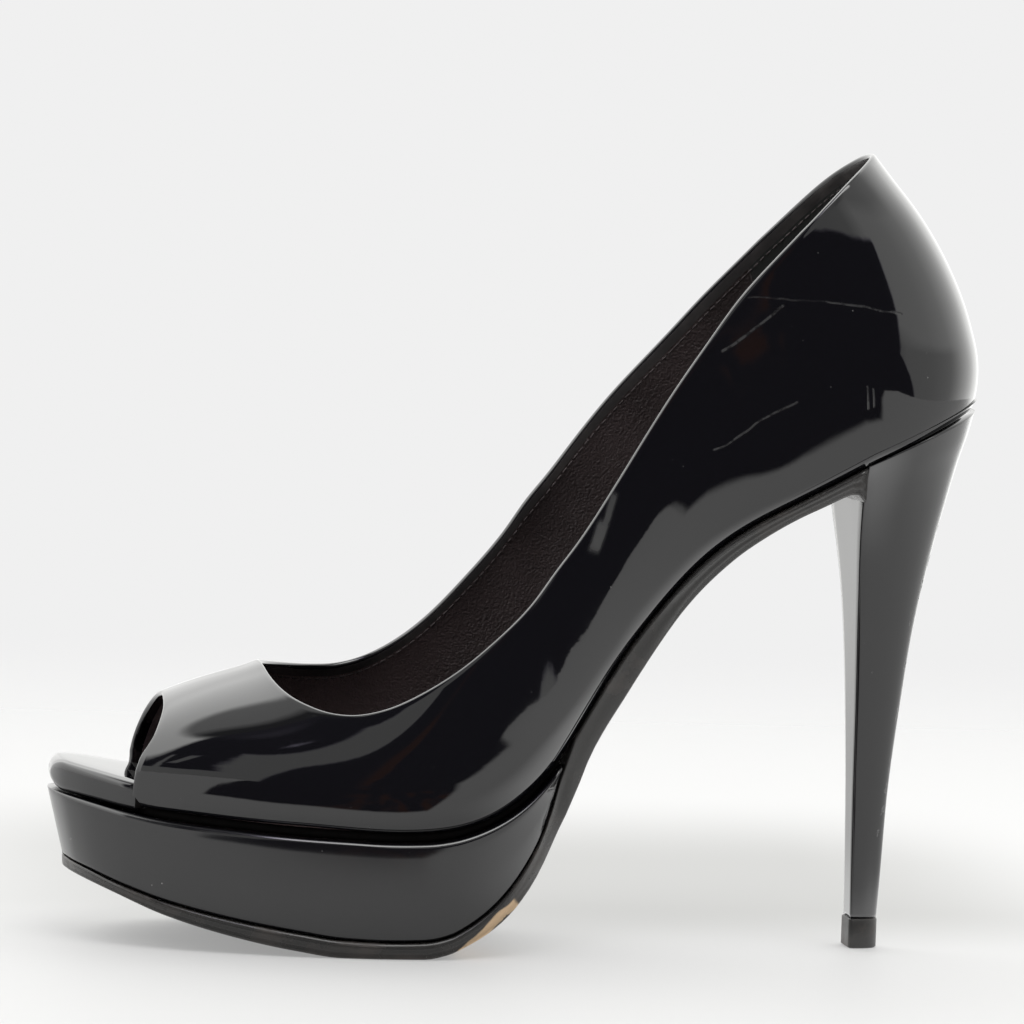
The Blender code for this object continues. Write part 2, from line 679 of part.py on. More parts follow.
def add_wall(node):
    """Gives an open skin its wall, on the inner side."""
    wall = node.modifiers.new("wall", "SOLIDIFY")
    wall.thickness = UPPER_WALL
    wall.offset = -1.0
    wall.use_even_offset = True
    wall.use_quality_normals = True


def main():
    """Clears the scene and builds every node of the shoe."""
    for item in list(bpy.data.objects):
        bpy.data.objects.remove(item, do_unlink=True)
    home = bpy.data.collections.new("peep_toe_pump")
    bpy.context.scene.collection.children.link(home)
    patent = (0.006, 0.006, 0.007)
    upper = add("upper", *upper_mesh(), material("patent_leather", patent, 0.08, 1.0), home, closed=False)
    add_wall(upper)
    add("insole", *insole_mesh(), material("wrapped_insole", patent, 0.12, 0.8), home)
    add("platform", *platform_mesh(), material("wrapped_platform", patent, 0.25, 0.5), home)
    add("outsole", *outsole_mesh(), material("sole_sheet", (0.010, 0.009, 0.009), 0.4, 0.0), home)
    add("heel", *heel_mesh(), material("heel_cover", patent, 0.15, 0.6), home)
    add("top_piece", *top_piece_mesh(), material("heel_rubber", (0.012, 0.011, 0.011), 0.7, 0.0), home)


main()
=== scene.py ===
"""The looks of a left peep toe pump: black patent leather, wrapped platform and a tall covered heel.

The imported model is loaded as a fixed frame. Each sub-assembly is built again here at full fineness on the
same last, replaces its plain node and gets its own finish. Lengths are in metres. Tables hold x as a share
of the length behind the toe, heights as shares of the seat height and widths as shares of the ball width.
"""

import logging
import math
from dataclasses import dataclass
from enum import Enum
from typing import Sequence

import bpy
import numpy as np
from mathutils import Matrix, Vector


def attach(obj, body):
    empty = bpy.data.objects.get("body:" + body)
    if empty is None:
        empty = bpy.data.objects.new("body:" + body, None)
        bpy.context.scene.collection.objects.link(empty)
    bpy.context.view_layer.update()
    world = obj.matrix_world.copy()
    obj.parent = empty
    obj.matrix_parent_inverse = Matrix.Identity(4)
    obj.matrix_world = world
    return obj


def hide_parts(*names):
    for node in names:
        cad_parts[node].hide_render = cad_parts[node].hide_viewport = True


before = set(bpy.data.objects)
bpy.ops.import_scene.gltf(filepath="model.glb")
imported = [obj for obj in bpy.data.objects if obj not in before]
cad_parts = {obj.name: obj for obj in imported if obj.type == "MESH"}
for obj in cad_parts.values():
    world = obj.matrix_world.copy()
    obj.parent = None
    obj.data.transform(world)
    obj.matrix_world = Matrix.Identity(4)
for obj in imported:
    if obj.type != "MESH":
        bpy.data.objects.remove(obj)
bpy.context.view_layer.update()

log = logging.getLogger("peep_toe_pump")

Array = np.ndarray
Pair = tuple[float, float]
Window = tuple[float, float, float, float]
Point = tuple[float, float, float]
Colour = tuple[float, float, float]
Stops = tuple[Pair, ...]
Socket = bpy.types.NodeSocket
Value = Socket | float | Colour

QUARTER = 0.5 * math.pi
TINY = 1e-9

LENGTH = 0.2148
TOE_X = -0.1071
SEAT_HEIGHT = 0.1283
BALL_WIDTH = 0.0786
UPPER_WALL = 0.0016
GAP = 0.0003
FEATHER_INSET = 0.0020
SEAT_SLOPE = 0.46
WIDEST_TURN = 0.75
BACK_ROUNDNESS = 2.3
BACK_ROLL = 0.45
PEEP_CORNER = 5

LAST_ROWS = (
    # x, feather, half width, centre, bulge, widest, crown, roundness, lean
    (0.0717, 0.2580, 0.3130, 0.0321, 0.0025, 0.0585, 0.1481, 2.05, 0),
    (0.0903, 0.2518, 0.3410, 0.0308, 0.0025, 0.0624, 0.1660, 2.05, 0),
    (0.1276, 0.2455, 0.3842, 0.0244, 0.0038, 0.0663, 0.1988, 2, 0),
    (0.1741, 0.2393, 0.4224, 0.0193, 0.0051, 0.0701, 0.2338, 1.9, 0),
    (0.2207, 0.2346, 0.4542, 0.0142, 0.0051, 0.0701, 0.2650, 1.8, 0),
    (0.2672, 0.2307, 0.4758, 0.0117, 0.0064, 0.0701, 0.3102, 1.72, 0),
    (0.3138, 0.2260, 0.4873, 0.0041, 0.0064, 0.0725, 0.3663, 1.72, 0),
    (0.3603, 0.2237, 0.4822, -0.0099, 0.0076, 0.0779, 0.4388, 1.8, 0),
    (0.4069, 0.2284, 0.4555, -0.0277, 0.0115, 0.0857, 0.5261, 1.95, 0),
    (0.4534, 0.2471, 0.4148, -0.0405, 0.0204, 0.1013, 0.6080, 2.1, 0),
    (0.5000, 0.2954, 0.3664, -0.0443, 0.0331, 0.1247, 0.6664, 2.25, 0),
    (0.5256, 0.3383, 0.3410, -0.0405, 0.0394, 0.1364, 0.6781, 2.3, -0.02),
    (0.5466, 0.3897, 0.3219, -0.0366, 0.0445, 0.1481, 0.6859, 2.35, -0.03),
    (0.5931, 0.5168, 0.2875, -0.0290, 0.0534, 0.1715, 0.6781, 2.4, -0.08),
    (0.6397, 0.6235, 0.2710, -0.0214, 0.0573, 0.1871, 0.6703, 2.4, -0.14),
    (0.6862, 0.7093, 0.2697, -0.0150, 0.0547, 0.1949, 0.6703, 2.4, -0.2),
    (0.7328, 0.7708, 0.2824, -0.0125, 0.0483, 0.1949, 0.6781, 2.4, -0.26),
    (0.7793, 0.8161, 0.3053, -0.0112, 0.0407, 0.1871, 0.6781, 2.4, -0.32),
    (0.8259, 0.8597, 0.3257, -0.0112, 0.0356, 0.1793, 0.6625, 2.4, -0.365),
    (0.8678, 0.8995, 0.3346, -0.0112, 0.0331, 0.1715, 0.6352, 2.4, -0.4),
)
TOE_ROWS = (
    # x, half width, centre line
    (0.0000, 0.0000, 0.0384),
    (0.0042, 0.0865, 0.0384),
    (0.0112, 0.1399, 0.0372),
    (0.0205, 0.1832, 0.0372),
    (0.0345, 0.2316, 0.0359),
    (0.0531, 0.2774, 0.0346),
    (0.0717, 0.3130, 0.0321),
)
SOLE_ROWS = (
    # x, platform top, platform bottom, outsole bottom
    (0.0000, 0.2634, 0.1551, 0.1341),
    (0.0205, 0.2580, 0.1426, 0.1216),
    (0.0438, 0.2510, 0.1302, 0.1083),
    (0.0670, 0.2432, 0.1154, 0.0943),
    (0.1182, 0.2292, 0.0881, 0.0616),
    (0.1881, 0.2190, 0.0624, 0.0304),
    (0.2565, 0.2112, 0.0444, 0.0094),
    (0.3045, 0.2081, 0.0343, 0.0000),
    (0.3510, 0.2058, 0.0320, 0.0000),
    (0.3906, 0.2073, 0.0335, 0.0000),
    (0.4162, 0.2128, 0.0421, 0.0078),
    (0.4348, 0.2206, 0.0577, 0.0218),
    (0.4581, 0.2354, 0.0850, 0.0436),
    (0.4814, 0.2564, 0.1247, 0.0748),
    (0.5000, 0.2798, 0.1691, 0.1115),
    (0.5140, 0.3024, 0.2136, 0.1489),
    (0.5256, 0.3242, 0.2673, 0.1894),
    (0.5345, 0.3429, 0.3242, 0.2229),
)
WAIST_ROWS = (
    # x, outsole bottom
    (0.5345, 0.2229),
    (0.5438, 0.2564),
    (0.5577, 0.3110),
    (0.5675, 0.3531),
    (0.5829, 0.4014),
    (0.6034, 0.4560),
    (0.6238, 0.5113),
    (0.6448, 0.5659),
    (0.6653, 0.6150),
    (0.6862, 0.6571),
    (0.7072, 0.6929),
    (0.7281, 0.7241),
    (0.7495, 0.7506),
    (0.7705, 0.7740),
    (0.7919, 0.7950),
    (0.8156, 0.8153),
    (0.8305, 0.8285),
    (0.8431, 0.8371),
    (0.8510, 0.8355),
    (0.8566, 0.8246),
)
TOP_LINE_ROWS = (
    # bottom x outer, bottom x inner, bottom turn, top x, outer height, inner height
    (0.1266, 0.1266, 0, 0.2207, 0.4988, 0.4988),
    (0.1243, 0.1229, 0.2, 0.2239, 0.4848, 0.4957),
    (0.1136, 0.1145, 0.42, 0.2323, 0.4669, 0.4918),
    (0.0954, 0.1061, 0.64, 0.2458, 0.4497, 0.4871),
    (0.0885, 0.1006, 0.84, 0.2616, 0.4373, 0.4832),
    (0.0871, 0.0978, 1, 0.2793, 0.4279, 0.4801),
    (0.1369, 0.1415, 1, 0.3007, 0.4240, 0.4786),
    (0.1927, 0.1951, 1, 0.3231, 0.4279, 0.4809),
    (0.2579, 0.2579, 1, 0.3534, 0.4443, 0.4957),
    (0.3277, 0.3277, 1, 0.3906, 0.4778, 0.5316),
    (0.3976, 0.3976, 1, 0.4325, 0.5269, 0.5955),
    (0.4628, 0.4628, 1, 0.4767, 0.5955, 0.6859),
    (0.5093, 0.5093, 1, 0.5116, 0.6594, 0.7607),
    (0.5466, 0.5466, 1, 0.5466, 0.7288, 0.8285),
    (0.5931, 0.5931, 1, 0.5931, 0.8254, 0.9088),
    (0.6397, 0.6397, 1, 0.6397, 0.9260, 0.9844),
    (0.6862, 0.6862, 1, 0.6862, 1.0203, 1.0514),
    (0.7328, 0.7328, 1, 0.7328, 1.1029, 1.1138),
    (0.7793, 0.7793, 1, 0.7793, 1.1761, 1.1723),
    (0.8259, 0.8259, 1, 0.8259, 1.2408, 1.2307),
    (0.8678, 0.8678, 1, 0.8678, 1.2962, 1.2845),
)
BACK_TOP_ROWS = (
    # share of the reach, outer height, inner height
    (0, 1.2962, 1.2845),
    (0.25, 1.3461, 1.3352),
    (0.503, 1.3889, 1.3811),
    (0.788, 1.4271, 1.4232),
    (0.957, 1.4458, 1.4443),
    (1, 1.4497, 1.4497),
)
BACK_ROWS = (
    # height, x
    (0.8730, 0.9963),
    (0.9353, 0.9991),
    (0.9977, 1.0005),
    (1.0366, 1.0005),
    (1.0678, 0.9991),
    (1.1005, 0.9953),
    (1.1380, 0.9884),
    (1.1730, 0.9814),
    (1.2362, 0.9651),
    (1.3087, 0.9404),
    (1.3617, 0.9176),
    (1.4061, 0.8953),
    (1.4497, 0.8743),
    (1.5277, 0.8375),
)
HEEL_ROWS = (
    # height in front, height behind, breast x, back x, half width, roundness
    (0.0569, 0.0569, 0.8778, 0.9106, 0.0560, 2.3),
    (0.1208, 0.1208, 0.8771, 0.9129, 0.0560, 2.3),
    (0.2689, 0.2689, 0.8752, 0.9171, 0.0611, 2.2),
    (0.4521, 0.4521, 0.8724, 0.9283, 0.0840, 2.1),
    (0.5846, 0.5924, 0.8692, 0.9395, 0.1094, 2.05),
    (0.6547, 0.6781, 0.8669, 0.9493, 0.1336, 2),
    (0.7171, 0.7560, 0.8641, 0.9595, 0.1641, 2),
    (0.7755, 0.8340, 0.8613, 0.9711, 0.2036, 2),
    (0.8262, 0.9002, 0.8594, 0.9809, 0.2468, 2.1),
    (0.8652, 0.9509, 0.8585, 0.9888, 0.2875, 2.3),
    (0.8885, 0.9945, 0.8580, 0.9939, 0.3206, 2.45),
)
INSOLE_ROWS = (
    # x, height
    (0.0000, 0.0561),
    (0.0531, 0.0561),
    (0.0903, 0.0553),
    (0.2207, 0.0546),
    (0.3603, 0.0546),
    (0.4534, 0.0514),
    (0.5000, 0.0499),
    (0.5466, 0.0483),
    (0.5931, 0.0468),
    (0.6397, 0.0421),
    (0.6862, 0.0382),
    (0.7328, 0.0343),
    (0.7793, 0.0304),
    (0.8678, 0.0281),
    (0.9935, 0.0265),
)


class Side(Enum):
    """The two sides of the shoe, as the sign of Y."""

    OUTER = -1
    INNER = 1


class Curve:
    """A smooth curve through a table that never overshoots it."""

    def __init__(self, keys: Sequence[float], values: Sequence[float]) -> None:
        """Works out the curve's shape once.

        Args:
            keys: where the values stand, rising.
            values: the values there.
        """
        self.keys = np.asarray(keys, float)
        self.values = np.asarray(values, float)
        self.steps = np.diff(self.keys)
        self.shape = self.fit(np.diff(self.values) / self.steps)

    def fit(self, slopes: Array) -> Array:
        """The tangent at each key, from the slopes between them."""
        tangents = np.zeros(len(self.keys))
        for i in range(1, len(self.keys) - 1):
            if slopes[i - 1] * slopes[i] > 0:
                before = 2 * self.steps[i] + self.steps[i - 1]
                after = self.steps[i] + 2 * self.steps[i - 1]
                tangents[i] = (before + after) / (before / slopes[i - 1] + after / slopes[i])
        tangents[0], tangents[-1] = slopes[0], slopes[-1]
        return tangents

    def place(self, at: Array | float) -> tuple[Array, Array]:
        """The step that holds each place and the share of it passed there, held at both ends."""
        at = np.clip(np.asarray(at, float), self.keys[0], self.keys[-1])
        i = np.clip(np.searchsorted(self.keys, at, side="right") - 1, 0, len(self.steps) - 1)
        return i, (at - self.keys[i]) / self.steps[i]

    def __call__(self, at: Array | float) -> Array:
        """The values at one place or many."""
        i, t = self.place(at)
        rise = (1 + 2 * t) * (1 - t) ** 2 * self.values[i] + t**2 * (3 - 2 * t) * self.values[i + 1]
        pull = t * (1 - t) ** 2 * self.shape[i] + t**2 * (t - 1) * self.shape[i + 1]
        return rise + pull * self.steps[i]


class Spline(Curve):
    """A natural cubic spline through a table, smooth enough for a glossy surface."""

    def fit(self, slopes: Array) -> Array:
        """The bend at each key, from the slopes between them."""
        system = np.eye(len(self.keys))
        right = np.zeros(len(self.keys))
        for i in range(1, len(self.keys) - 1):
            system[i, i - 1 : i + 2] = self.steps[i - 1], 2 * (self.steps[i - 1] + self.steps[i]), self.steps[i]
            right[i] = 6 * (slopes[i] - slopes[i - 1])
        return np.linalg.solve(system, right)

    def __call__(self, at: Array | float) -> Array:
        """The values at one place or many."""
        i, t = self.place(at)
        bend = ((1 - t) ** 3 - (1 - t)) * self.shape[i] + (t**3 - t) * self.shape[i + 1]
        return (1 - t) * self.values[i] + t * self.values[i + 1] + self.steps[i] ** 2 / 6 * bend


def station(share: Array | float) -> Array | float:
    """World x of a share of the length behind the toe."""
    return TOE_X + LENGTH * share


def share_of(x: Array | float) -> Array | float:
    """Share of the length behind the toe of a world x."""
    return (x - TOE_X) / LENGTH


def columns(rows: Sequence[Sequence[float]], kind: type[Curve] = Spline) -> list[Curve]:
    """One curve for each column of a table after the first, by which it is read."""
    table = np.array(rows)
    return [kind(table[:, 0], table[:, i]) for i in range(1, table.shape[1])]


@dataclass(frozen=True)
class EdgePair:
    """One column of the upper: a place and turn on its outer edge and one on its top line."""

    side: Side
    bottom: float
    bottom_turn: float
    top: float
    top_turn: float


class Last:
    """The last of the shoe: every piece takes its form from it."""

    probe: float = 0.2
    slowest: float = 0.0085
    fan_spread: float = 1.25

    def __init__(self) -> None:
        """Reads the tables."""
        (self.feather, self.half_width, self.centre, self.bulge, self.widest, self.crown, self.roundness,
         self.lean) = columns(LAST_ROWS)
        toe = np.array(TOE_ROWS)
        self.toe_end = toe[-1, 0]
        self.toe_width = Curve(np.sqrt(toe[:, 0]), toe[:, 1])
        self.toe_centre = Curve(toe[:, 0], toe[:, 2])
        self.back = Spline(*np.array(BACK_ROWS).T)
        self.back_reach = BACK_ROWS[0][1]
        self.platform_top, self.platform_bottom, self.tread = columns(SOLE_ROWS, Curve)
        self.waist_bottom = columns(WAIST_ROWS, Curve)[0]
        self.insole_rise = columns(INSOLE_ROWS, Curve)[0]
        self.seat_x = float(station(LAST_ROWS[-1][0]))
        self.platform_end = float(station(SOLE_ROWS[-1][0]))
        self.breast = float(station(WAIST_ROWS[-1][0]))

    def level(self, line: Curve, x: float) -> float:
        """World height of a table's line at a station."""
        return SEAT_HEIGHT * float(line(share_of(x)))

    def feather_at(self, x: Array | float) -> Array:
        """Height of the feather line at stations in front of the seat's widest place."""
        return SEAT_HEIGHT * self.feather(share_of(x))

    def seat_height(self, x: Array | float) -> Array:
        """Height of the feather line behind the seat's widest place."""
        return self.feather_at(self.seat_x) + SEAT_SLOPE * (x - self.seat_x)

    def plan(self, x: Array | float) -> tuple[Array, Array]:
        """Half width of the sole seen from above, and the Y of its centre line."""
        share = share_of(np.asarray(x, float))
        toe = share < self.toe_end
        root = np.sqrt(np.maximum(share, 0.0))
        half = BALL_WIDTH * np.where(toe, self.toe_width(root), self.half_width(share))
        return half, BALL_WIDTH * np.where(toe, self.toe_centre(share), self.centre(share))

    def section(self, x: Array, v: Array, low: Array) -> tuple[Array, Array]:
        """Half width and height of the last's section.

        Args:
            x: stations.
            v: turns, 0 on the ridge and 1 at the feather line.
            low: heights of the feather line there.

        Returns:
            The half widths and the heights.
        """
        share = share_of(x)
        widest = BALL_WIDTH * (self.half_width(share) + self.bulge(share))
        inner = BALL_WIDTH * self.half_width(share) - FEATHER_INSET
        middle = low + SEAT_HEIGHT * self.widest(share)
        high = SEAT_HEIGHT * (self.feather(share) + self.crown(share))
        power = 2.0 / self.roundness(share)
        a = QUARTER * np.clip(v / WIDEST_TURN, 0, 1)
        b = QUARTER * np.clip((v - WIDEST_TURN) / (1 - WIDEST_TURN), 0, 1)
        upper = v <= WIDEST_TURN
        half = np.where(upper, widest * np.sin(a) ** power, inner + (widest - inner) * np.cos(b))
        rise = middle + (high - middle) * np.maximum(np.cos(a), 0) ** power
        return half, np.where(upper, rise, middle - (middle - low) * np.sin(b))

    def turn_at(self, x: float, height: float, low: float) -> float:
        """The turn at which a section reaches a height above its widest place.

        Args:
            x: station.
            height: world height.
            low: height of the feather line there.

        Returns:
            The turn.
        """
        share = share_of(x)
        middle = low + SEAT_HEIGHT * float(self.widest(share))
        high = SEAT_HEIGHT * float(self.feather(share) + self.crown(share))
        part = min(max((height - middle) / (high - middle), 0.0), 1.0)
        return WIDEST_TURN / QUARTER * math.acos(part ** (float(self.roundness(share)) / 2))

    def fan_low(self, turn: Array | float) -> Array:
        """Height of the feather line round the counter for turns of 0 to 1."""
        along = np.sin(QUARTER * np.clip(turn, 0, 1)) ** (2 / BACK_ROUNDNESS)
        reach = station(self.back_reach) - self.seat_x
        lean = float(self.lean(1.0))
        return self.seat_height(self.seat_x + reach * along / (1 - lean * SEAT_SLOPE * (1 - along)))

    def points(self, place: Array, v: Array, side: Array) -> Array:
        """Points of the last.

        Args:
            place: world x up to the seat, then 1 more for the turn to the back seam.
            v: turns round the section.
            side: -1 on the outer side, 1 on the inner side.

        Returns:
            One point a row.
        """
        x = np.minimum(place, self.seat_x)
        turn = np.clip(place - self.seat_x, 0, 1)
        fan = place > self.seat_x
        low = np.where(fan, self.fan_low(turn), self.feather_at(x))
        half, height = self.section(x, v, low)
        share = share_of(x)
        front = x + self.lean(share) * (height - self.feather_at(x))
        along = np.sin(QUARTER * turn) ** (2 / BACK_ROUNDNESS)
        across = np.maximum(np.cos(QUARTER * turn), 0) ** (2 / BACK_ROUNDNESS)
        widest = BALL_WIDTH * (self.half_width(share) + self.bulge(share))
        roll = np.where(v > WIDEST_TURN, 1 - BACK_ROLL * (1 - half / widest), 1.0)
        back = station(self.back(height / SEAT_HEIGHT))
        world_x = front + np.where(fan, (back - front) * along * roll, 0.0)
        y = BALL_WIDTH * self.centre(share) + side * half * np.where(fan, across, 1.0)
        return np.stack([world_x, y, height], axis=-1)

    def edge_pairs(self, side: Side, step: float, fan: int) -> list[EdgePair]:
        """Pairs the upper's outer edge with its top line, from the vamp's ridge to the back seam.

        Args:
            side: which side.
            step: about how far apart the columns stand.
            fan: how many columns go round the counter.

        Returns:
            The pairs in order.
        """
        table = np.array(TOP_LINE_ROWS)
        index = np.arange(len(table), dtype=float)
        outer = side is Side.OUTER
        heights = Spline(index, table[:, 4 if outer else 5])
        bottom_x, bottom_turn = Curve(index, station(table[:, 0 if outer else 1])), Curve(index, table[:, 2])
        top_x = Spline(index, station(table[:, 3]))
        at = [0.0]
        while at[-1] < index[-1] - TINY:
            here, probe = at[-1], self.probe
            pace = abs(float(bottom_x(here + probe) - bottom_x(here))) / probe
            lift = abs(float(heights(here + probe) - heights(here))) * SEAT_HEIGHT / probe
            stop = PEEP_CORNER if here < PEEP_CORNER - TINY else index[-1]
            at.append(min(here + step / max(pace, lift, self.slowest), stop))
        found = []
        for here in at:
            x, height = float(top_x(here)), SEAT_HEIGHT * float(heights(here))
            turn = 0.0 if here == 0.0 else self.turn_at(x, height, float(self.feather_at(x)))
            found.append(EdgePair(side, float(bottom_x(here)), float(bottom_turn(here)), x, turn))
        tops = columns(BACK_TOP_ROWS)[0 if outer else 1]
        for i in range(1, fan + 1):
            turn = (i / fan) ** self.fan_spread
            place = self.seat_x + turn
            height = SEAT_HEIGHT * float(tops(math.sin(QUARTER * turn) ** (2 / BACK_ROUNDNESS)))
            top_turn = self.turn_at(self.seat_x, height, float(self.fan_low(turn)))
            found.append(EdgePair(side, place, 1.0, place, top_turn))
        return found


def mesh_piece(name: str, points: Array, faces: list[tuple[int, ...]], smooth: bool = True) -> bpy.types.Object:
    """Makes an object from points and faces.

    Args:
        name: object name.
        points: one point a row.
        faces: corner numbers of each face.
        smooth: whether it is shaded smooth.

    Returns:
        The object, linked to the scene.
    """
    mesh = bpy.data.meshes.new(name)
    mesh.from_pydata([tuple(map(float, p)) for p in points], [], faces)
    mesh.validate()
    if smooth:
        mesh.shade_smooth()
    piece = bpy.data.objects.new(name, mesh)
    bpy.context.scene.collection.objects.link(piece)
    return piece


def band_faces(count: int, rows: int, flip: bool = False) -> list[tuple[int, ...]]:
    """Faces of a closed band whose points run row by row inside each column.

    Args:
        count: number of columns.
        rows: points in a column.
        flip: whether to turn the faces round.

    Returns:
        The faces.
    """
    faces = []
    for c in range(count):
        d = (c + 1) % count
        for r in range(rows - 1):
            face = (c * rows + r, d * rows + r, d * rows + r + 1, c * rows + r + 1)
            faces.append(face[::-1] if flip else face)
    return faces


def ring_faces(count: int, rings: int) -> list[tuple[int, ...]]:
    """Faces of a closed body through a number of rings with a count of points each."""
    faces = []
    for k in range(rings - 1):
        for i in range(count):
            j = (i + 1) % count
            faces.append((k * count + i, (k + 1) * count + i, (k + 1) * count + j, k * count + j))
    return faces + [tuple(range(count)), tuple(reversed(range((rings - 1) * count, rings * count)))]


def ring_piece(name: str, rings: list[list[Point]]) -> bpy.types.Object:
    """Makes a closed body through rings of equal count."""
    return mesh_piece(name, np.array([p for ring in rings for p in ring]), ring_faces(len(rings[0]), len(rings)))


def mirrored(half: list[Point], centre: float) -> list[Point]:
    """A ring from its right half, which starts and ends on the middle line at Y centre."""
    return [(x, centre + y, z) for x, y, z in half] + [(x, centre - y, z) for x, y, z in half[-2:0:-1]]


def unit(vectors: Array) -> Array:
    """The vectors with length 1."""
    return vectors / np.maximum(np.linalg.norm(vectors, axis=-1, keepdims=True), 1e-12)


class Operation(Enum):
    """What a Math node does with its inputs."""

    ADD = "ADD"
    SUBTRACT = "SUBTRACT"
    MULTIPLY = "MULTIPLY"
    DIVIDE = "DIVIDE"
    MAXIMUM = "MAXIMUM"
    ABSOLUTE = "ABSOLUTE"
    ARCTAN2 = "ARCTAN2"


class Step(Enum):
    """How a value goes from one level to another."""

    SOFT = "SMOOTHSTEP"
    STRAIGHT = "LINEAR"


class Pores(Enum):
    """Which distance a Voronoi texture gives."""

    SHARP = "F1"
    ROUND = "SMOOTH_F1"


@dataclass(frozen=True)
class Patches:
    """Patches cut from noise between two levels.

    Scale is features per metre, detail the octaves and rough the share of each finer octave.
    """

    scale: float
    detail: float
    low: float
    high: float
    rough: float = 0.5


@dataclass(frozen=True)
class Mark:
    """A scratch, scuff or rub on the outer side, by x and z of its two ends."""

    start: Pair
    end: Pair
    width: float
    strength: float = 1.0
    soft: float = 0.00028
    speckled: bool = True


class Graph:
    """Builds one shader tree with few words."""

    mark_wave: float = 0.003
    mark_wave_scale: float = 90.0
    outer_side: Pair = (-0.004, -0.002)

    def __init__(self, tree: bpy.types.NodeTree, coordinates: str) -> None:
        """Starts on a tree.

        Args:
            tree: the node tree.
            coordinates: output of the Texture Coordinate node that every texture reads.
        """
        self.tree = tree
        self.place = self.node("TexCoord", coordinates)

    def put(self, socket: Socket, value: Value) -> None:
        """Links or sets one input; a colour gets its alpha here."""
        if isinstance(value, bpy.types.NodeSocket):
            self.tree.links.new(value, socket)
        else:
            socket.default_value = (*value, 1.0) if socket.type == "RGBA" else value

    def node(self, kind: str, output: str | int = 0, given: dict[str | int, Value] | None = None,
             **settings: str) -> Socket:
        """Adds one node.

        Args:
            kind: its type, without the word ShaderNode.
            output: which output is read.
            given: what its inputs get.
            settings: its own settings.

        Returns:
            The output.
        """
        node = self.tree.nodes.new(f"ShaderNode{kind}")
        for key, setting in settings.items():
            setattr(node, key, setting)
        for key, value in (given or {}).items():
            self.put(node.inputs[key], value)
        return node.outputs[output]

    def math(self, kind: Operation, first: Value, *others: Value) -> Socket:
        """Works through the values from left to right with Math nodes."""
        for value in others or (0.0,):
            first = self.node("Math", 0, {0: first, 1: value}, operation=kind.value)
        return first

    def plus(self, *values: Value) -> Socket:
        """The sum of some values."""
        return self.math(Operation.ADD, *values)

    def minus(self, a: Value, b: Value) -> Socket:
        """The first value less the second."""
        return self.math(Operation.SUBTRACT, a, b)

    def times(self, *values: Value) -> Socket:
        """The product of some values."""
        return self.math(Operation.MULTIPLY, *values)

    def most(self, *values: Value) -> Socket:
        """The greatest of some values."""
        return self.math(Operation.MAXIMUM, *values)

    def blend(self, share: Socket, a: Value, b: Value) -> Socket:
        """Goes from a to b as the share goes from 0 to 1."""
        return self.plus(a, self.times(share, self.minus(b, a)))

    def axes(self) -> tuple[Socket, Socket, Socket]:
        """The three coordinates."""
        return tuple(self.node("SeparateXYZ", 0, {0: self.place}).node.outputs)

    def noise(self, scale: float, detail: float = 2.0, rough: float = 0.5, place: Socket | None = None) -> Socket:
        """Noise between 0 and 1.

        Args:
            scale: features per metre.
            detail: octaves.
            rough: share of each finer octave.
            place: coordinates, or None for the tree's own.

        Returns:
            The factor.
        """
        return self.node("TexNoise", "Fac", {"Vector": place or self.place, "Scale": scale, "Detail": detail,
                                             "Roughness": rough})

    def cells(self, scale: float, pores: Pores = Pores.SHARP) -> Socket:
        """Distance to the nearest of some scattered points, with scale cells per metre."""
        return self.node("TexVoronoi", "Distance", {"Vector": self.place, "Scale": scale}, feature=pores.value)

    def band(self, value: Socket, low: float, high: float, start: float = 0.0, stop: float = 1.0,
             step: Step = Step.SOFT) -> Socket:
        """A step from start to stop while the value goes from low to high.

        Args:
            value: what is read.
            low: where the step starts.
            high: where it ends.
            start: result below low.
            stop: result above high.
            step: how it goes.

        Returns:
            The result.
        """
        given = dict(enumerate((value, low, high, start, stop)))
        return self.node("MapRange", 0, given, interpolation_type=step.value)

    def fade(self, value: Socket, low: float, high: float) -> Socket:
        """1 below low and 0 above high."""
        return self.band(value, low, high, 1.0, 0.0)

    def window(self, value: Socket, span: Window) -> Socket:
        """1 between the middle two values of a span, fading to 0 at its outer two."""
        return self.times(self.band(value, *span[:2]), self.fade(value, *span[2:]))

    def patches(self, cut: Patches, start: float = 0.0, stop: float = 1.0) -> Socket:
        """Patches cut from noise, from start between them to stop in them."""
        return self.band(self.noise(cut.scale, cut.detail, cut.rough), cut.low, cut.high, start, stop)

    def profile(self, value: Socket, stops: Stops) -> Socket:
        """Height of a line through pairs of value and height, level before the first and after the last."""
        total: Value = stops[0][1]
        for (low, start), (high, stop) in zip(stops, stops[1:]):
            if start != stop:
                total = self.plus(total, self.band(value, low, high, 0.0, stop - start, Step.STRAIGHT))
        return total

    def mix(self, share: Value, a: Value, b: Value) -> Socket:
        """Goes from colour a to colour b as the share goes from 0 to 1."""
        return self.node("Mix", 2, {0: share, 6: a, 7: b}, data_type="RGBA")

    def bump(self, height: Socket, strength: float, depth: float, below: Socket | None = None) -> Socket:
        """A relief.

        Args:
            height: the relief's height.
            strength: 0 to 1.
            depth: metres for a height of 1.
            below: normal to build on.

        Returns:
            The normal.
        """
        given: dict[str | int, Value] = {"Strength": strength, "Distance": depth, "Height": height}
        if below is not None:
            given["Normal"] = below
        return self.node("Bump", 0, given)

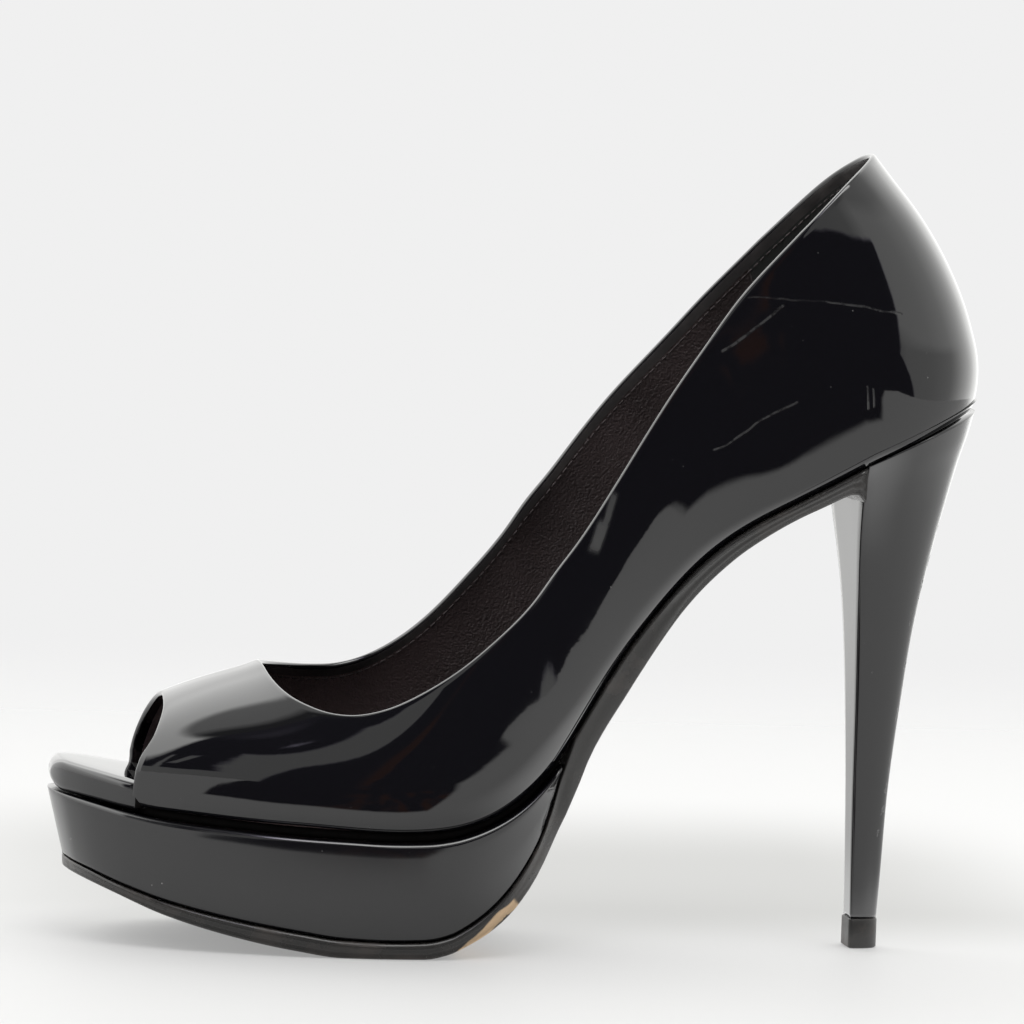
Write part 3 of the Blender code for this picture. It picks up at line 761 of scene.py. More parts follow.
    def line(self, mark: Mark) -> Socket:
        """1 along a straight mark on the outer side of the shoe, seen from the side."""
        length = math.dist(mark.start, mark.end)
        ux, uz = ((end - start) / length for start, end in zip(mark.start, mark.end))
        x, y, z = self.axes()
        dx, dz = self.minus(x, mark.start[0]), self.minus(z, mark.start[1])
        along = self.plus(self.times(dx, ux), self.times(dz, uz))
        wave = self.times(self.minus(self.noise(self.mark_wave_scale), 0.5), self.mark_wave)
        off = self.math(Operation.ABSOLUTE, self.plus(self.minus(self.times(dx, uz), self.times(dz, ux)), wave))
        ends = (-mark.soft, mark.soft, length - mark.soft, length + mark.soft)
        return self.times(self.fade(off, mark.width, mark.width + mark.soft), self.window(along, ends),
                          self.fade(y, *self.outer_side))


class Finish(Graph):
    """A material under construction, with its Principled shader."""

    fine_grain: float = 1400.0

    def __init__(self, name: str) -> None:
        """Starts a material of that name."""
        self.material = bpy.data.materials.new(name)
        self.material.use_nodes = True
        super().__init__(self.material.node_tree, "Object")
        self.shader = self.tree.nodes["Principled BSDF"]

    def surface(self, given: dict[str, Value]) -> bpy.types.Material:
        """Sets the shader's inputs and gives the material."""
        for key, value in given.items():
            self.put(self.shader.inputs[key], value)
        return self.material

    def grain(self, depth: float) -> Socket:
        """The normal of a fine grain some depth high."""
        return self.bump(self.noise(self.fine_grain, 3.0), 0.6, depth)


UPPER_MARKS = (
    Mark((0.0472, 0.1518), (0.0647, 0.1519), 0.00006, 0.5),
    Mark((0.0647, 0.1519), (0.0833, 0.1497), 0.00009, 0.7),
    Mark((0.0554, 0.1504), (0.0414, 0.1397), 0.00016, 0.8),
    Mark((0.0593, 0.1288), (0.0406, 0.1168), 0.00010, 0.7),
    Mark((0.0753, 0.1327), (0.0755, 0.1272), 0.00006, 0.7),
    Mark((0.0767, 0.1321), (0.0768, 0.1278), 0.00006, 0.6),
    Mark((0.0152, 0.1000), (0.0132, 0.0932), 0.0008, 0.95, 0.0013, False),
    Mark((0.0182, 0.1062), (0.0142, 0.0965), 0.0003, 0.85, 0.0011, False),
)
HEEL_MARKS = (
    Mark((0.0997, 0.1040), (0.0937, 0.0770), 0.00040),
    Mark((0.0937, 0.0770), (0.0880, 0.0260), 0.00035),
)


@dataclass(frozen=True)
class Patent:
    """Black patent leather: a lacquer film over smooth leather, with marks, clouds and dust."""

    name: str
    colour: Colour = (0.003, 0.003, 0.004)
    dust_colour: Colour = (0.45, 0.45, 0.44)
    lacquer: float = 1.72
    roughness: float = 0.03
    cloud_rough: float = 0.025
    clouds: Patches = Patches(35.0, 4.0, 0.35, 0.75)
    wave_scale: float = 38.0
    waviness: float = 0.00022
    ripple_scale: float = 420.0
    ripple_share: float = 0.018
    dust: float = 0.5
    dust_scale: float = 300.0
    dust_size: Pair = (0.035, 0.075)
    dust_patches: Patches = Patches(55.0, 2.0, 0.54, 0.66)
    dust_tint: float = 0.6
    marks: tuple[Mark, ...] = ()
    mark_tint: float = 0.10
    mark_rough: float = 0.4
    mark_depth: float = 0.00008
    speckle: Patches = Patches(500.0, 3.0, 0.3, 0.6)
    speckle_least: float = 0.25
    broken_marks: bool = False
    breaks: Patches = Patches(420.0, 2.0, 0.60, 0.66)

    def worn(self, n: Finish) -> Socket:
        """Mask of the scratches and nicks."""
        gaps = n.patches(self.breaks) if self.broken_marks else n.patches(self.speckle, self.speckle_least)
        return n.most(*[n.times(n.line(mark), mark.strength, gaps if mark.speckled else 1.0) for mark in self.marks])

    def make(self) -> bpy.types.Material:
        """Builds the material."""
        n = Finish(self.name)
        dust = n.times(n.fade(n.cells(self.dust_scale), *self.dust_size), n.patches(self.dust_patches), self.dust)
        tint, worn = n.times(dust, self.dust_tint), dust
        normal = n.bump(n.noise(self.wave_scale, 1.0), 1.0, self.waviness)
        normal = n.bump(n.noise(self.ripple_scale), 1.0, self.waviness * self.ripple_share, normal)
        if self.marks:
            marked = self.worn(n)
            tint, worn = n.most(tint, n.times(marked, self.mark_tint)), n.most(dust, marked)
            normal = n.bump(n.minus(1.0, marked), 0.5, self.mark_depth, normal)
        rough = n.plus(n.times(n.patches(self.clouds), self.cloud_rough), self.roughness,
                       n.times(worn, self.mark_rough))
        return n.surface({"Base Color": n.mix(tint, self.colour, self.dust_colour), "Roughness": rough,
                          "IOR": self.lacquer, "Normal": normal})


@dataclass(frozen=True)
class Lining:
    """Dark brown-black lining leather with a fine pebbled grain, a smoother grip behind the heel, and painted light
    that makes it brighter towards the open toe.
    """

    name: str
    colour: Colour = (0.030, 0.022, 0.022)
    rubbed: float = 1.6
    rub: Patches = Patches(60.0, 4.0, 0.3, 0.7)
    # painted light at the toe: how many times brighter, and the x span over which it fades out
    painted_toe_light: float = 5.5
    painted_toe_light_span: Pair = (-0.045, -0.005)
    grip: Colour = (0.020, 0.021, 0.020)
    grip_x: float = 0.0570
    grip_height: float = 0.1600
    grip_lean: float = 0.35
    grip_rough: float = 0.62
    grip_smooth: float = 0.7
    grip_step: float = 0.0004
    rough: Pair = (0.30, 0.48)
    pebbles: float = 2000.0
    pebble_span: Pair = (0.1, 0.7)
    pebble_depth: float = 0.0003
    creases: float = 110.0
    crease_depth: float = 0.0005

    def make(self) -> bpy.types.Material:
        """Builds the material."""
        n = Finish(self.name)
        x, _, z = n.axes()
        seam = n.plus(x, n.times(n.minus(z, self.grip_height), self.grip_lean))
        edge = 0.5 * self.grip_step
        behind = n.band(seam, self.grip_x - edge, self.grip_x + edge)
        leather = n.mix(n.patches(self.rub), self.colour, self.lit(self.rubbed))
        # painted light: the leather is drawn brighter towards the open toe, in place of the light that reaches in
        # there
        leather = n.mix(n.fade(x, *self.painted_toe_light_span), leather, self.lit(self.painted_toe_light))
        pebble = n.cells(self.pebbles, Pores.ROUND)
        rough = n.most(n.band(pebble, *self.pebble_span, *self.rough), n.times(behind, self.grip_rough))
        height = n.times(pebble, n.minus(1.0, n.times(behind, self.grip_smooth)))
        normal = n.bump(n.noise(self.creases), 0.5, self.crease_depth)
        normal = n.bump(height, 0.85, self.pebble_depth, normal)
        normal = n.bump(n.band(seam, self.grip_x - self.grip_step, self.grip_x), 0.8, self.grip_step, normal)
        return n.surface({"Base Color": n.mix(behind, leather, self.grip), "Roughness": rough, "Normal": normal})

    def lit(self, gain: float) -> Colour:
        """The leather's colour, so many times brighter."""
        return tuple(gain * part for part in self.colour)


@dataclass(frozen=True)
class Board:
    """The insole's dark matt edge in the groove."""

    name: str
    colour: Colour = (0.003, 0.003, 0.003)
    light: Colour = (0.008, 0.007, 0.007)
    fibres: float = 300.0
    rough_patches: Patches = Patches(500.0, 2.0, 0.3, 0.7)
    rough: Pair = (0.75, 0.9)
    shine: float = 0.05
    fuzz: float = 900.0
    fuzz_depth: float = 0.0001

    def make(self) -> bpy.types.Material:
        """Builds the material."""
        n = Finish(self.name)
        return n.surface({"Base Color": n.mix(n.noise(self.fibres, 3.0), self.colour, self.light),
                          "Roughness": n.patches(self.rough_patches, *self.rough),
                          "Specular IOR Level": self.shine,
                          "Normal": n.bump(n.noise(self.fuzz), 0.5, self.fuzz_depth)})


@dataclass(frozen=True)
class Plain:
    """A dark sheet, thread or rubber finish with fine wear."""

    name: str
    colour: Colour
    worn: Colour
    rough: Pair
    depth: float = 0.00006
    wear: Patches = Patches(70.0, 5.0, 0.45, 0.75, 0.65)

    def make(self) -> bpy.types.Material:
        """Builds the material."""
        n = Finish(self.name)
        wear = n.patches(self.wear)
        return n.surface({"Base Color": n.mix(wear, self.colour, self.worn),
                          "Roughness": n.band(wear, 0.0, 1.0, *self.rough), "Normal": n.grain(self.depth)})


@dataclass(frozen=True)
class SoleSheet(Plain):
    """The thin black sole sheet, rubbed through to tan leather at the back of the tread."""

    tan: Colour = (0.62, 0.44, 0.27)
    tread_height: Pair = (0.0002, 0.0022)
    tread: Patches = Patches(45.0, 4.0, 0.42, 0.6)
    rub: Mark = Mark((-0.0150, 0.0012), (-0.0022, 0.0132), 0.0008, soft=0.0005)
    rub_patches: Patches = Patches(300.0, 3.0, 0.36, 0.44)
    scuff: Mark = Mark((0.0010, 0.0375), (0.0036, 0.0450), 0.0004, 0.5, 0.0006)
    scuff_patches: Patches = Patches(700.0, 3.0, 0.5, 0.6)

    def make(self) -> bpy.types.Material:
        """Builds the material."""
        n = Finish(self.name)
        wear = n.patches(self.wear)
        under = n.fade(n.axes()[2], *self.tread_height)
        black = n.mix(n.most(wear, n.times(under, n.patches(self.tread))), self.colour, self.worn)
        tan = n.most(*[n.times(n.line(mark), n.patches(cut), mark.strength)
                       for mark, cut in ((self.rub, self.rub_patches), (self.scuff, self.scuff_patches))])
        return n.surface({"Base Color": n.mix(tan, black, self.tan),
                          "Roughness": n.band(n.most(wear, tan), 0.0, 1.0, *self.rough),
                          "Normal": n.grain(self.depth)})


@dataclass
class Assembly:
    """A part of the shoe with its pieces, which all ride on the one body."""

    last: Last

    def dress(self, piece: bpy.types.Object, slot: str, *nodes: str,
              finishes: Sequence[Patent | Lining | Board | Plain]) -> None:
        """Gives a piece its finishes and its place in the frame.

        Args:
            piece: the object.
            slot: not used.
            nodes: CAD nodes that it stands for.
            finishes: what its faces are made of, in the order of their material numbers.
        """
        for finish in finishes:
            piece.data.materials.append(finish.make())
        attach(piece, "root")
        if nodes:
            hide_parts(*nodes)
        log.info("%s: %d faces", piece.name, len(piece.data.polygons))


@dataclass
class Upper(Assembly):
    """The lasted upper: patent outside with turned edges, leather lining inside, and the top line's stitches."""

    step: float = 0.0014
    rows: int = 64
    crowding: float = 0.35
    fan: int = 46
    turned: float = 0.0026
    turned_shares: Pair = (0.4, 1.0)
    turned_lift: float = 0.00003
    turned_steps: int = 7
    fold: float = 0.0011
    fold_waist: float = 0.0006
    fold_reach: float = 0.01
    stitch_depth: float = 0.0034
    stitch_pitch: float = 0.0021
    stitch_length: float = 0.0015
    stitch_radius: float = 0.00022
    stitch_lift: float = 0.00005
    stitch_sides: int = 6
    stitch_profile: Stops = ((-0.02, 0.3), (0.15, 0.9), (0.5, 1.0), (0.85, 0.9), (1.02, 0.3))
    skin_finish: Patent = Patent("patent_leather", marks=UPPER_MARKS)
    edge_finish: Plain = Plain("turned_edge", (0.045, 0.042, 0.042), (0.075, 0.068, 0.066), (0.28, 0.42), 0.0001)
    lining_finish: Lining = Lining("lining_leather")
    thread_finish: Plain = Plain("lining_thread", (0.05, 0.04, 0.04), (0.12, 0.10, 0.10), (0.5, 0.7))

    def grid(self) -> tuple[Array, Array]:
        """Points and outward normals of the outer skin, column by column."""
        outer, inner = (self.last.edge_pairs(side, self.step, self.fan) for side in Side)
        pairs = outer + list(reversed(inner[1:-1]))
        t = np.linspace(0, 1, self.rows)
        shares = self.crowding * t**2 + (1 - self.crowding) * t
        ends = np.array([[p.bottom, p.bottom_turn, p.top, p.top_turn, p.side.value] for p in pairs])
        place = ends[:, 0:1] + (ends[:, 2:3] - ends[:, 0:1]) * shares
        turn = ends[:, 1:2] + (ends[:, 3:4] - ends[:, 1:2]) * shares
        side = np.repeat(ends[:, 4:5], self.rows, axis=1)
        points = self.last.points(place.ravel(), turn.ravel(), side.ravel()).reshape(*place.shape, 3)
        along = np.roll(points, -1, axis=0) - np.roll(points, 1, axis=0)
        normals = unit(np.cross(np.gradient(points, axis=1), along))
        if (normals * (points - points.mean(axis=(0, 1)))).sum() < 0:
            normals = -normals
        return points, normals

    def build(self) -> None:
        """Makes and dresses the skin, the lining and the stitches."""
        points, normals = self.grid()
        self.dress(self.skin(points, normals), "upper", "upper", finishes=(self.skin_finish, self.edge_finish))
        self.dress(self.lining(points, normals), "upper", finishes=(self.lining_finish,))
        self.dress(self.stitches(points, normals), "upper", finishes=(self.thread_finish,))

    def skin(self, points: Array, normals: Array) -> bpy.types.Object:
        """The patent skin with its edges turned in at the top line, the peep toe and the feather.

        Args:
            points: the outer skin's grid.
            normals: its outward normals.

        Returns:
            The piece, whose turned edge at the top line has material number 1.
        """
        half = 0.5 * UPPER_WALL
        parts = []
        turns = np.linspace(0, math.pi, self.turned_steps)[1:]
        for end, inward in ((0, 1), (-1, -2)):
            edge = points[:, end]
            out = normals[:, end]
            away = unit(edge - points[:, inward])
            if end == 0:
                waist = self.last.platform_end
                edge = edge + away * np.interp(edge[:, 0], (waist - self.fold_reach, waist + self.fold_reach),
                                               (self.fold, self.fold_waist))[:, None]
            loop = [edge - half * out + half * (math.cos(a) * out + math.sin(a) * away) for a in turns]
            if end == 0:
                loop.insert(0, edge)
            tail = [edge - (UPPER_WALL + self.turned_lift) * out - away * share * self.turned
                    for share in self.turned_shares]
            parts.append(loop + tail)
        stack = np.stack(list(reversed(parts[0])) + list(np.moveaxis(points, 1, 0)) + parts[1], axis=1)
        rows = stack.shape[1]
        piece = mesh_piece("upper_patent", stack.reshape(-1, 3), band_faces(len(stack), rows))
        for face in piece.data.polygons:
            if all(index % rows >= rows - 3 for index in face.vertices):
                face.material_index = 1
        return piece

    def lining(self, points: Array, normals: Array) -> bpy.types.Object:
        """The lining inside the wall, from the outer skin's grid and normals."""
        inner = points - UPPER_WALL * normals
        return mesh_piece("upper_lining", inner.reshape(-1, 3), band_faces(*inner.shape[:2], flip=True))

    def stitches(self, points: Array, normals: Array) -> bpy.types.Object:
        """A row of small stitches in the lining under the top line, from the outer skin's grid and normals."""
        edge, out = points[:, -1], normals[:, -1]
        away = unit(edge - points[:, -3])
        path = edge - (UPPER_WALL + self.stitch_lift) * out - away * self.stitch_depth
        closed = np.vstack([path, path[:1]])
        run = np.concatenate([[0], np.cumsum(np.linalg.norm(np.diff(closed, axis=0), axis=1))])
        count = int(run[-1] / self.stitch_pitch)
        verts, faces = [], []
        for k in range(count):
            mid = run[-1] * k / count
            ends = [mid - 0.5 * self.stitch_length, mid + 0.5 * self.stitch_length]
            a, b = (np.array([np.interp(e % run[-1], run, closed[:, i]) for i in range(3)]) for e in ends)
            axis = unit(b - a)
            u = unit(np.cross(axis, out[int(np.searchsorted(run, mid)) % len(path)]))
            w = np.cross(axis, u)
            first = len(verts)
            for share, radius in self.stitch_profile:
                for s in range(self.stitch_sides):
                    angle = 2 * math.pi * s / self.stitch_sides
                    ring = math.cos(angle) * u + math.sin(angle) * w
                    verts.append(a + (b - a) * share + ring * radius * self.stitch_radius)
            stitch = ring_faces(self.stitch_sides, len(self.stitch_profile))
            faces += [tuple(first + corner for corner in face) for face in stitch]
        return mesh_piece("top_line_stitches", np.array(verts), faces)


@dataclass
class Insole(Assembly):
    """The wrapped insole with its rolled rim at the toe and the board inside the shoe."""

    setback: float = 0.0004
    rim_inset: float = 0.0006
    rim_tail: float = 0.0024
    under_skin: float = 0.0040
    rim_ramp: float = 0.0020
    rim_round: float = 0.0017
    crown: float = 0.0004
    crown_shares: tuple[float, ...] = (0.0, 0.35, 0.7, 1.0)
    lip: float = 0.0002
    sock: float = 0.0001
    shoulder: float = 0.0045
    nose: float = 0.0030
    play: float = 0.0009
    groove_height: float = 0.0004
    groove_depth: float = 0.0042
    toe_steps: tuple[float, ...] = (0.00002, 0.0001, 0.0002, 0.0004, 0.0006, 0.0009, 0.0013, 0.0018, 0.0024, 0.0030,
                                    0.0038, 0.0048, 0.0060, 0.0072)
    toe_end: float = 0.0084
    step: float = 0.0012
    back_steps: int = 30
    back_width: float = 0.12
    flat: float = 0.6
    finishes: tuple[Patent, Board, Lining] = (Patent("wrapped_insole", roughness=0.05, waviness=0.0001),
                                              Board("board_edge"), Lining("sock_leather"))

    def outline(self, half: float, low: float, rise: float, rim: float, nose: float) -> list[Pair]:
        """Half a section, from the middle of the underside round to the middle of the top.

        Args:
            half: half width of the plan there.
            low: height of the underside.
            rise: thickness.
            rim: share of the full rim, 0 behind it.
            nose: below 1 the section is drawn in to the rounded tip of the toe.

        Returns:
            Widths and heights.
        """
        side = half - (FEATHER_INSET + self.play) * min(half / (0.25 * BALL_WIDTH), 1.0)
        foot, groove, top = side, low + 0.25 * rise, low + rise
        if rim > 0:
            side += (half - self.rim_inset - side) * rim
            foot = max(side - self.groove_depth * rim, 0.3 * side)
            groove += (low + self.groove_height - groove) * rim
        soft = self.rim_round * min(side / (0.15 * BALL_WIDTH), 1.0)
        crown_top = top - self.crown
        points = [(0.0, low), (0.6 * foot, low), (foot, low), (foot, groove - self.lip)]
        for degrees, level, way in ((range(-90, 1, 10), groove, 1), (range(0, 81, 10), crown_top, -1)):
            for a in map(math.radians, degrees):
                lift = way * self.rim_round * (1 + way * math.sin(a))
                points.append((side - soft + soft * math.cos(a), level + lift))
        inner = max(side - self.shoulder, 0.5 * side)
        for share in self.crown_shares:
            lift = self.crown * math.sin(QUARTER * share)
            points.append((side - soft + (inner - side + soft) * share, crown_top + lift))
        points += [(0.5 * inner, top + self.sock), (0.0, top + self.sock)]
        middle = low + 0.5 * rise
        swell = math.sqrt(1 - (1 - nose) ** 2)
        return [(y, middle + swell * (z - middle)) for y, z in points]

    def corner(self, side: Side) -> float:
        """World x of the peep toe's corner on one side."""
        return float(station(TOP_LINE_ROWS[PEEP_CORNER][0 if side is Side.OUTER else 1]))

    def underside(self, x: float) -> float:
        """Height of the underside over the platform."""
        return self.last.level(self.last.platform_top, x) + GAP

    def ring(self, x: float, back_end: float | None = None) -> list[Point]:
        """A section across the insole.

        Args:
            x: station.
            back_end: x of the insole's back, for sections behind the seat's widest place.

        Returns:
            The ring's points.
        """
        last = self.last
        rise = last.level(last.insole_rise, x)
        if back_end is not None:
            low = float(last.seat_height(x))
            turn = min((x - last.seat_x) / (back_end - last.seat_x), 1.0)
            across = max((1 - turn**BACK_ROUNDNESS) ** (1 / BACK_ROUNDNESS), self.back_width)
            half = BALL_WIDTH * float(last.half_width(1.0)) * across
            centre = BALL_WIDTH * float(last.centre(1.0))
        else:
            half, centre = map(float, last.plan(x))
            low = self.underside(x) if x < last.platform_end else float(last.feather_at(x))
        nose = min((x - TOE_X - self.setback) / self.nose, 1.0)
        halves = []
        for side in (Side.INNER, Side.OUTER):
            rim = min(max((self.corner(side) + self.rim_tail - x) / self.rim_ramp, 0.0), 1.0)
            halves.append([(x, centre + side.value * y, z) for y, z in self.outline(half, low, rise, rim, nose)])
        return halves[0] + halves[1][-2:0:-1]

    def build(self) -> None:
        """Makes the insole; its rim is wrapped in patent leather, and the board has a matt edge and a leather sock."""
        last = self.last
        back = last.points(np.array([last.seat_x + 1.0]), np.array([1.0]), np.array([1.0]))[0, 0]
        back_end = float(back) - UPPER_WALL - GAP
        start = TOE_X + self.setback
        xs = [start + lead for lead in self.toe_steps] + list(np.arange(start + self.toe_end, last.seat_x, self.step))
        rings = [self.ring(float(x)) for x in xs]
        rings += [self.ring(float(x), back_end) for x in np.linspace(last.seat_x, back_end, self.back_steps)[1:]]
        piece = ring_piece("insole_board", rings)
        for face in piece.data.polygons:
            x, y, z = face.center
            corner = self.corner(Side.INNER if y > 0 else Side.OUTER)
            if face.normal.z > self.flat:
                face.material_index = 2 if x > corner + self.under_skin else 0
            elif x > corner or z < self.underside(x) + self.groove_height:
                face.material_index = 1
        self.dress(piece, "insole", "insole", finishes=self.finishes)


@dataclass
class Layers(Assembly):
    """The platform and the sole sheet under the shoe."""

    step: float = 0.0016
    toe_steps: tuple[float, ...] = (0.0001, 0.0003, 0.0006, 0.0010, 0.0015, 0.0021, 0.0028, 0.0036, 0.0046, 0.0058,
                                    0.0072)
    toe_end: float = 0.0088
    edge_turns: tuple[int, ...] = (0, 15, 30, 45, 60, 75, 90)
    wall_shares: tuple[float, ...] = (0.15, 0.5, 0.85)
    overhang: float = 0.0010
    overhang_reach: float = 0.003
    tail_step: float = 0.0030
    platform_round: float = 0.0012
    toe_draft: float = 0.0039
    draft_reach: float = 0.0300
    side_draft: float = 0.0016
    sole_round: float = 0.0011
    sole_inset: float = 0.0002
    sole_draft: float = 0.0012
    least_half: float = 0.001
    wrap: Patent = Patent("wrapped_platform", roughness=0.14, waviness=0.0001, dust=0.8)
    sheet: SoleSheet = SoleSheet("sole_sheet", (0.022, 0.021, 0.020), (0.060, 0.052, 0.047), (0.26, 0.5))

    def draft(self, x: float) -> float:
        """How far the platform's foot stands behind its top at a station, most at the toe."""
        return self.toe_draft * max(1 - (x - TOE_X) / self.draft_reach, 0.0) ** 2

    def ring(self, x: float, plan: Pair, levels: Pair, insets: Pair, radius: float, draft: float = 0.0) -> list[Point]:
        """A section across a layer with rounded edges.

        Args:
            x: station.
            plan: half width, and Y of the middle.
            levels: heights of the underside and the top.
            insets: how far the lower and the upper edge stand in.
            radius: edge radius.
            draft: how far the bottom stands behind the top.

        Returns:
            The ring's points.
        """
        (half, centre), (low, high) = plan, levels
        lower, upper = (half - inset for inset in insets)
        r = min(radius, 0.35 * (high - low), 0.5 * half)
        turns = [math.radians(a) for a in self.edge_turns]
        outline = [(0.0, low), (0.5 * lower, low)]
        outline += [(lower - r + r * math.sin(a), low + r - r * math.cos(a)) for a in turns]
        outline += [(lower + (upper - lower) * share, low + share * (high - low)) for share in self.wall_shares]
        outline += [(upper - r + r * math.cos(a), high - r + r * math.sin(a)) for a in turns]
        outline += [(0.5 * upper, high), (0.0, high)]
        return mirrored([(x + draft * (high - z) / (high - low), y, z) for y, z in outline], centre)

    def stations(self, first: float, final: float, toe: bool) -> list[float]:
        """World x values along a layer from first to final, close together at a rounded toe."""
        start = first + (self.toe_end if toe else 0.0)
        count = max(int((final - start) / self.step), 2)
        return [first + d for d in self.toe_steps if toe] + [float(x) for x in np.linspace(start, final, count)]

    def platform(self) -> bpy.types.Object:
        """The wrapped platform block."""
        last, rings = self.last, []
        for x in self.stations(TOE_X, last.platform_end, True):
            half, centre = map(float, last.plan(x))
            draft = self.draft(x)
            levels = last.level(last.platform_bottom, x + draft), last.level(last.platform_top, x)
            half += self.overhang * min((x - TOE_X) / self.overhang_reach, 1.0)
            rings.append(self.ring(x, (half, centre), levels, (self.side_draft, 0.0), self.platform_round, draft))
        return ring_piece("platform_wrap", rings)

    def sole(self) -> bpy.types.Object:
        """The sole sheet from the toe to the breast of the heel."""
        last, rings = self.last, []
        insets = self.sole_draft, self.sole_inset
        for x in self.stations(TOE_X + self.sole_inset, last.platform_end, True):
            half, centre = map(float, last.plan(x))
            foot = x + self.draft(x)
            levels = last.level(last.tread, foot), last.level(last.platform_bottom, foot) - GAP
            half = max(half - self.sole_inset, self.least_half)
            rings.append(self.ring(foot, (half, centre), levels, insets, self.sole_round))
        end = last.platform_end
        step = float(last.feather_at(end)) - last.level(last.platform_bottom, end)
        for x in self.stations(end, last.breast, False)[1:]:
            half, centre = map(float, last.plan(x))
            high = float(last.feather_at(x)) - GAP - step * max(1 - (x - end) / self.tail_step, 0.0)
            levels = last.level(last.waist_bottom, x), high
            rings.append(self.ring(x, (half + GAP, centre), levels, insets, self.sole_round))
        return ring_piece("sole_sheet", rings)

    def build(self) -> None:
        """Makes and dresses both layers."""
        self.dress(self.platform(), "platform", "platform", finishes=(self.wrap,))
        self.dress(self.sole(), "outsole", "outsole", finishes=(self.sheet,))


@dataclass
class Heel(Assembly):
    """The tall covered heel and its rubber top piece."""

    levels: int = 110
    arc: int = 28
    cover_round: float = 0.0007
    corner_turns: tuple[int, ...] = (0, 30, 60)
    breast_shares: tuple[float, ...] = (-0.75, -0.25, 0.25, 0.75)
    tip_insets: Stops = ((0.0, 0.0004), (0.0003, 0.0), (0.0067, 0.0), (0.0070, 0.0003))
    tip_front: float = 0.0003
    tip_back: float = 0.0001
    tip_side: float = 0.0002
    cover: Patent = Patent("heel_cover", roughness=0.12, waviness=0.0001, dust=0.3, marks=HEEL_MARKS,
                           broken_marks=True)
    rubber: Plain = Plain("tip_rubber", (0.014, 0.013, 0.012), (0.07, 0.056, 0.048), (0.5, 0.75), 0.0001)

    def ring(self, low: float, high: float, front: float, back: float, half: float, roundness: float) -> list[Point]:
        """A D-shaped section with a flat breast.

        Args:
            low: height in front.
            high: height behind.
            front: x of the breast.
            back: x of the back.
            half: half width at the breast.
            roundness: exponent of the rounded back.

        Returns:
            The ring's points.
        """
        centre = BALL_WIDTH * float(self.last.centre(1.0))
        r = min(self.cover_round, 0.3 * half)
        turns = [math.radians(a) for a in self.corner_turns]
        loop = [(front + r * (1 - math.cos(a)), half - r + r * math.sin(a)) for a in turns]
        for t in np.linspace(0, 1, self.arc + 1):
            angle = QUARTER * float(t)
            along = math.sin(angle) ** (2 / roundness)
            across = max(math.cos(angle), 0.0) ** (2 / roundness)
            loop.append((front + r + (back - front - r) * along, half * across))
        points = [(x, centre + y) for x, y in loop] + [(x, centre - y) for x, y in reversed(loop[:-1])]
        points += [(front, centre + share * (half - r)) for share in self.breast_shares]
        return [(x, y, low + (high - low) * (x - front) / (back - front)) for x, y in points]

    def build(self) -> None:
        """Makes and dresses the heel and the top piece."""
        table = np.array(HEEL_ROWS)
        reads = [Curve(np.linspace(0, 1, len(table)), column) for column in table.T]
        rings = []
        for t in np.linspace(0, 1, self.levels):
            low, high, front, back, half, roundness = (float(read(t)) for read in reads)
            rings.append(self.ring(SEAT_HEIGHT * low, SEAT_HEIGHT * high, float(station(front)), float(station(back)),
                                   BALL_WIDTH * half, roundness))
        self.dress(ring_piece("heel_cover", rings), "heel", "heel", finishes=(self.cover,))
        _, _, front, back, half, roundness = HEEL_ROWS[0]
        front, back = float(station(front)) - self.tip_front, float(station(back)) + self.tip_back
        half = BALL_WIDTH * half + self.tip_side
        tip = [self.ring(z, z, front + inset, back - inset, half - inset, roundness) for z, inset in self.tip_insets]
        self.dress(ring_piece("rubber_tip", tip), "top_piece", "top_piece", finishes=(self.rubber,))


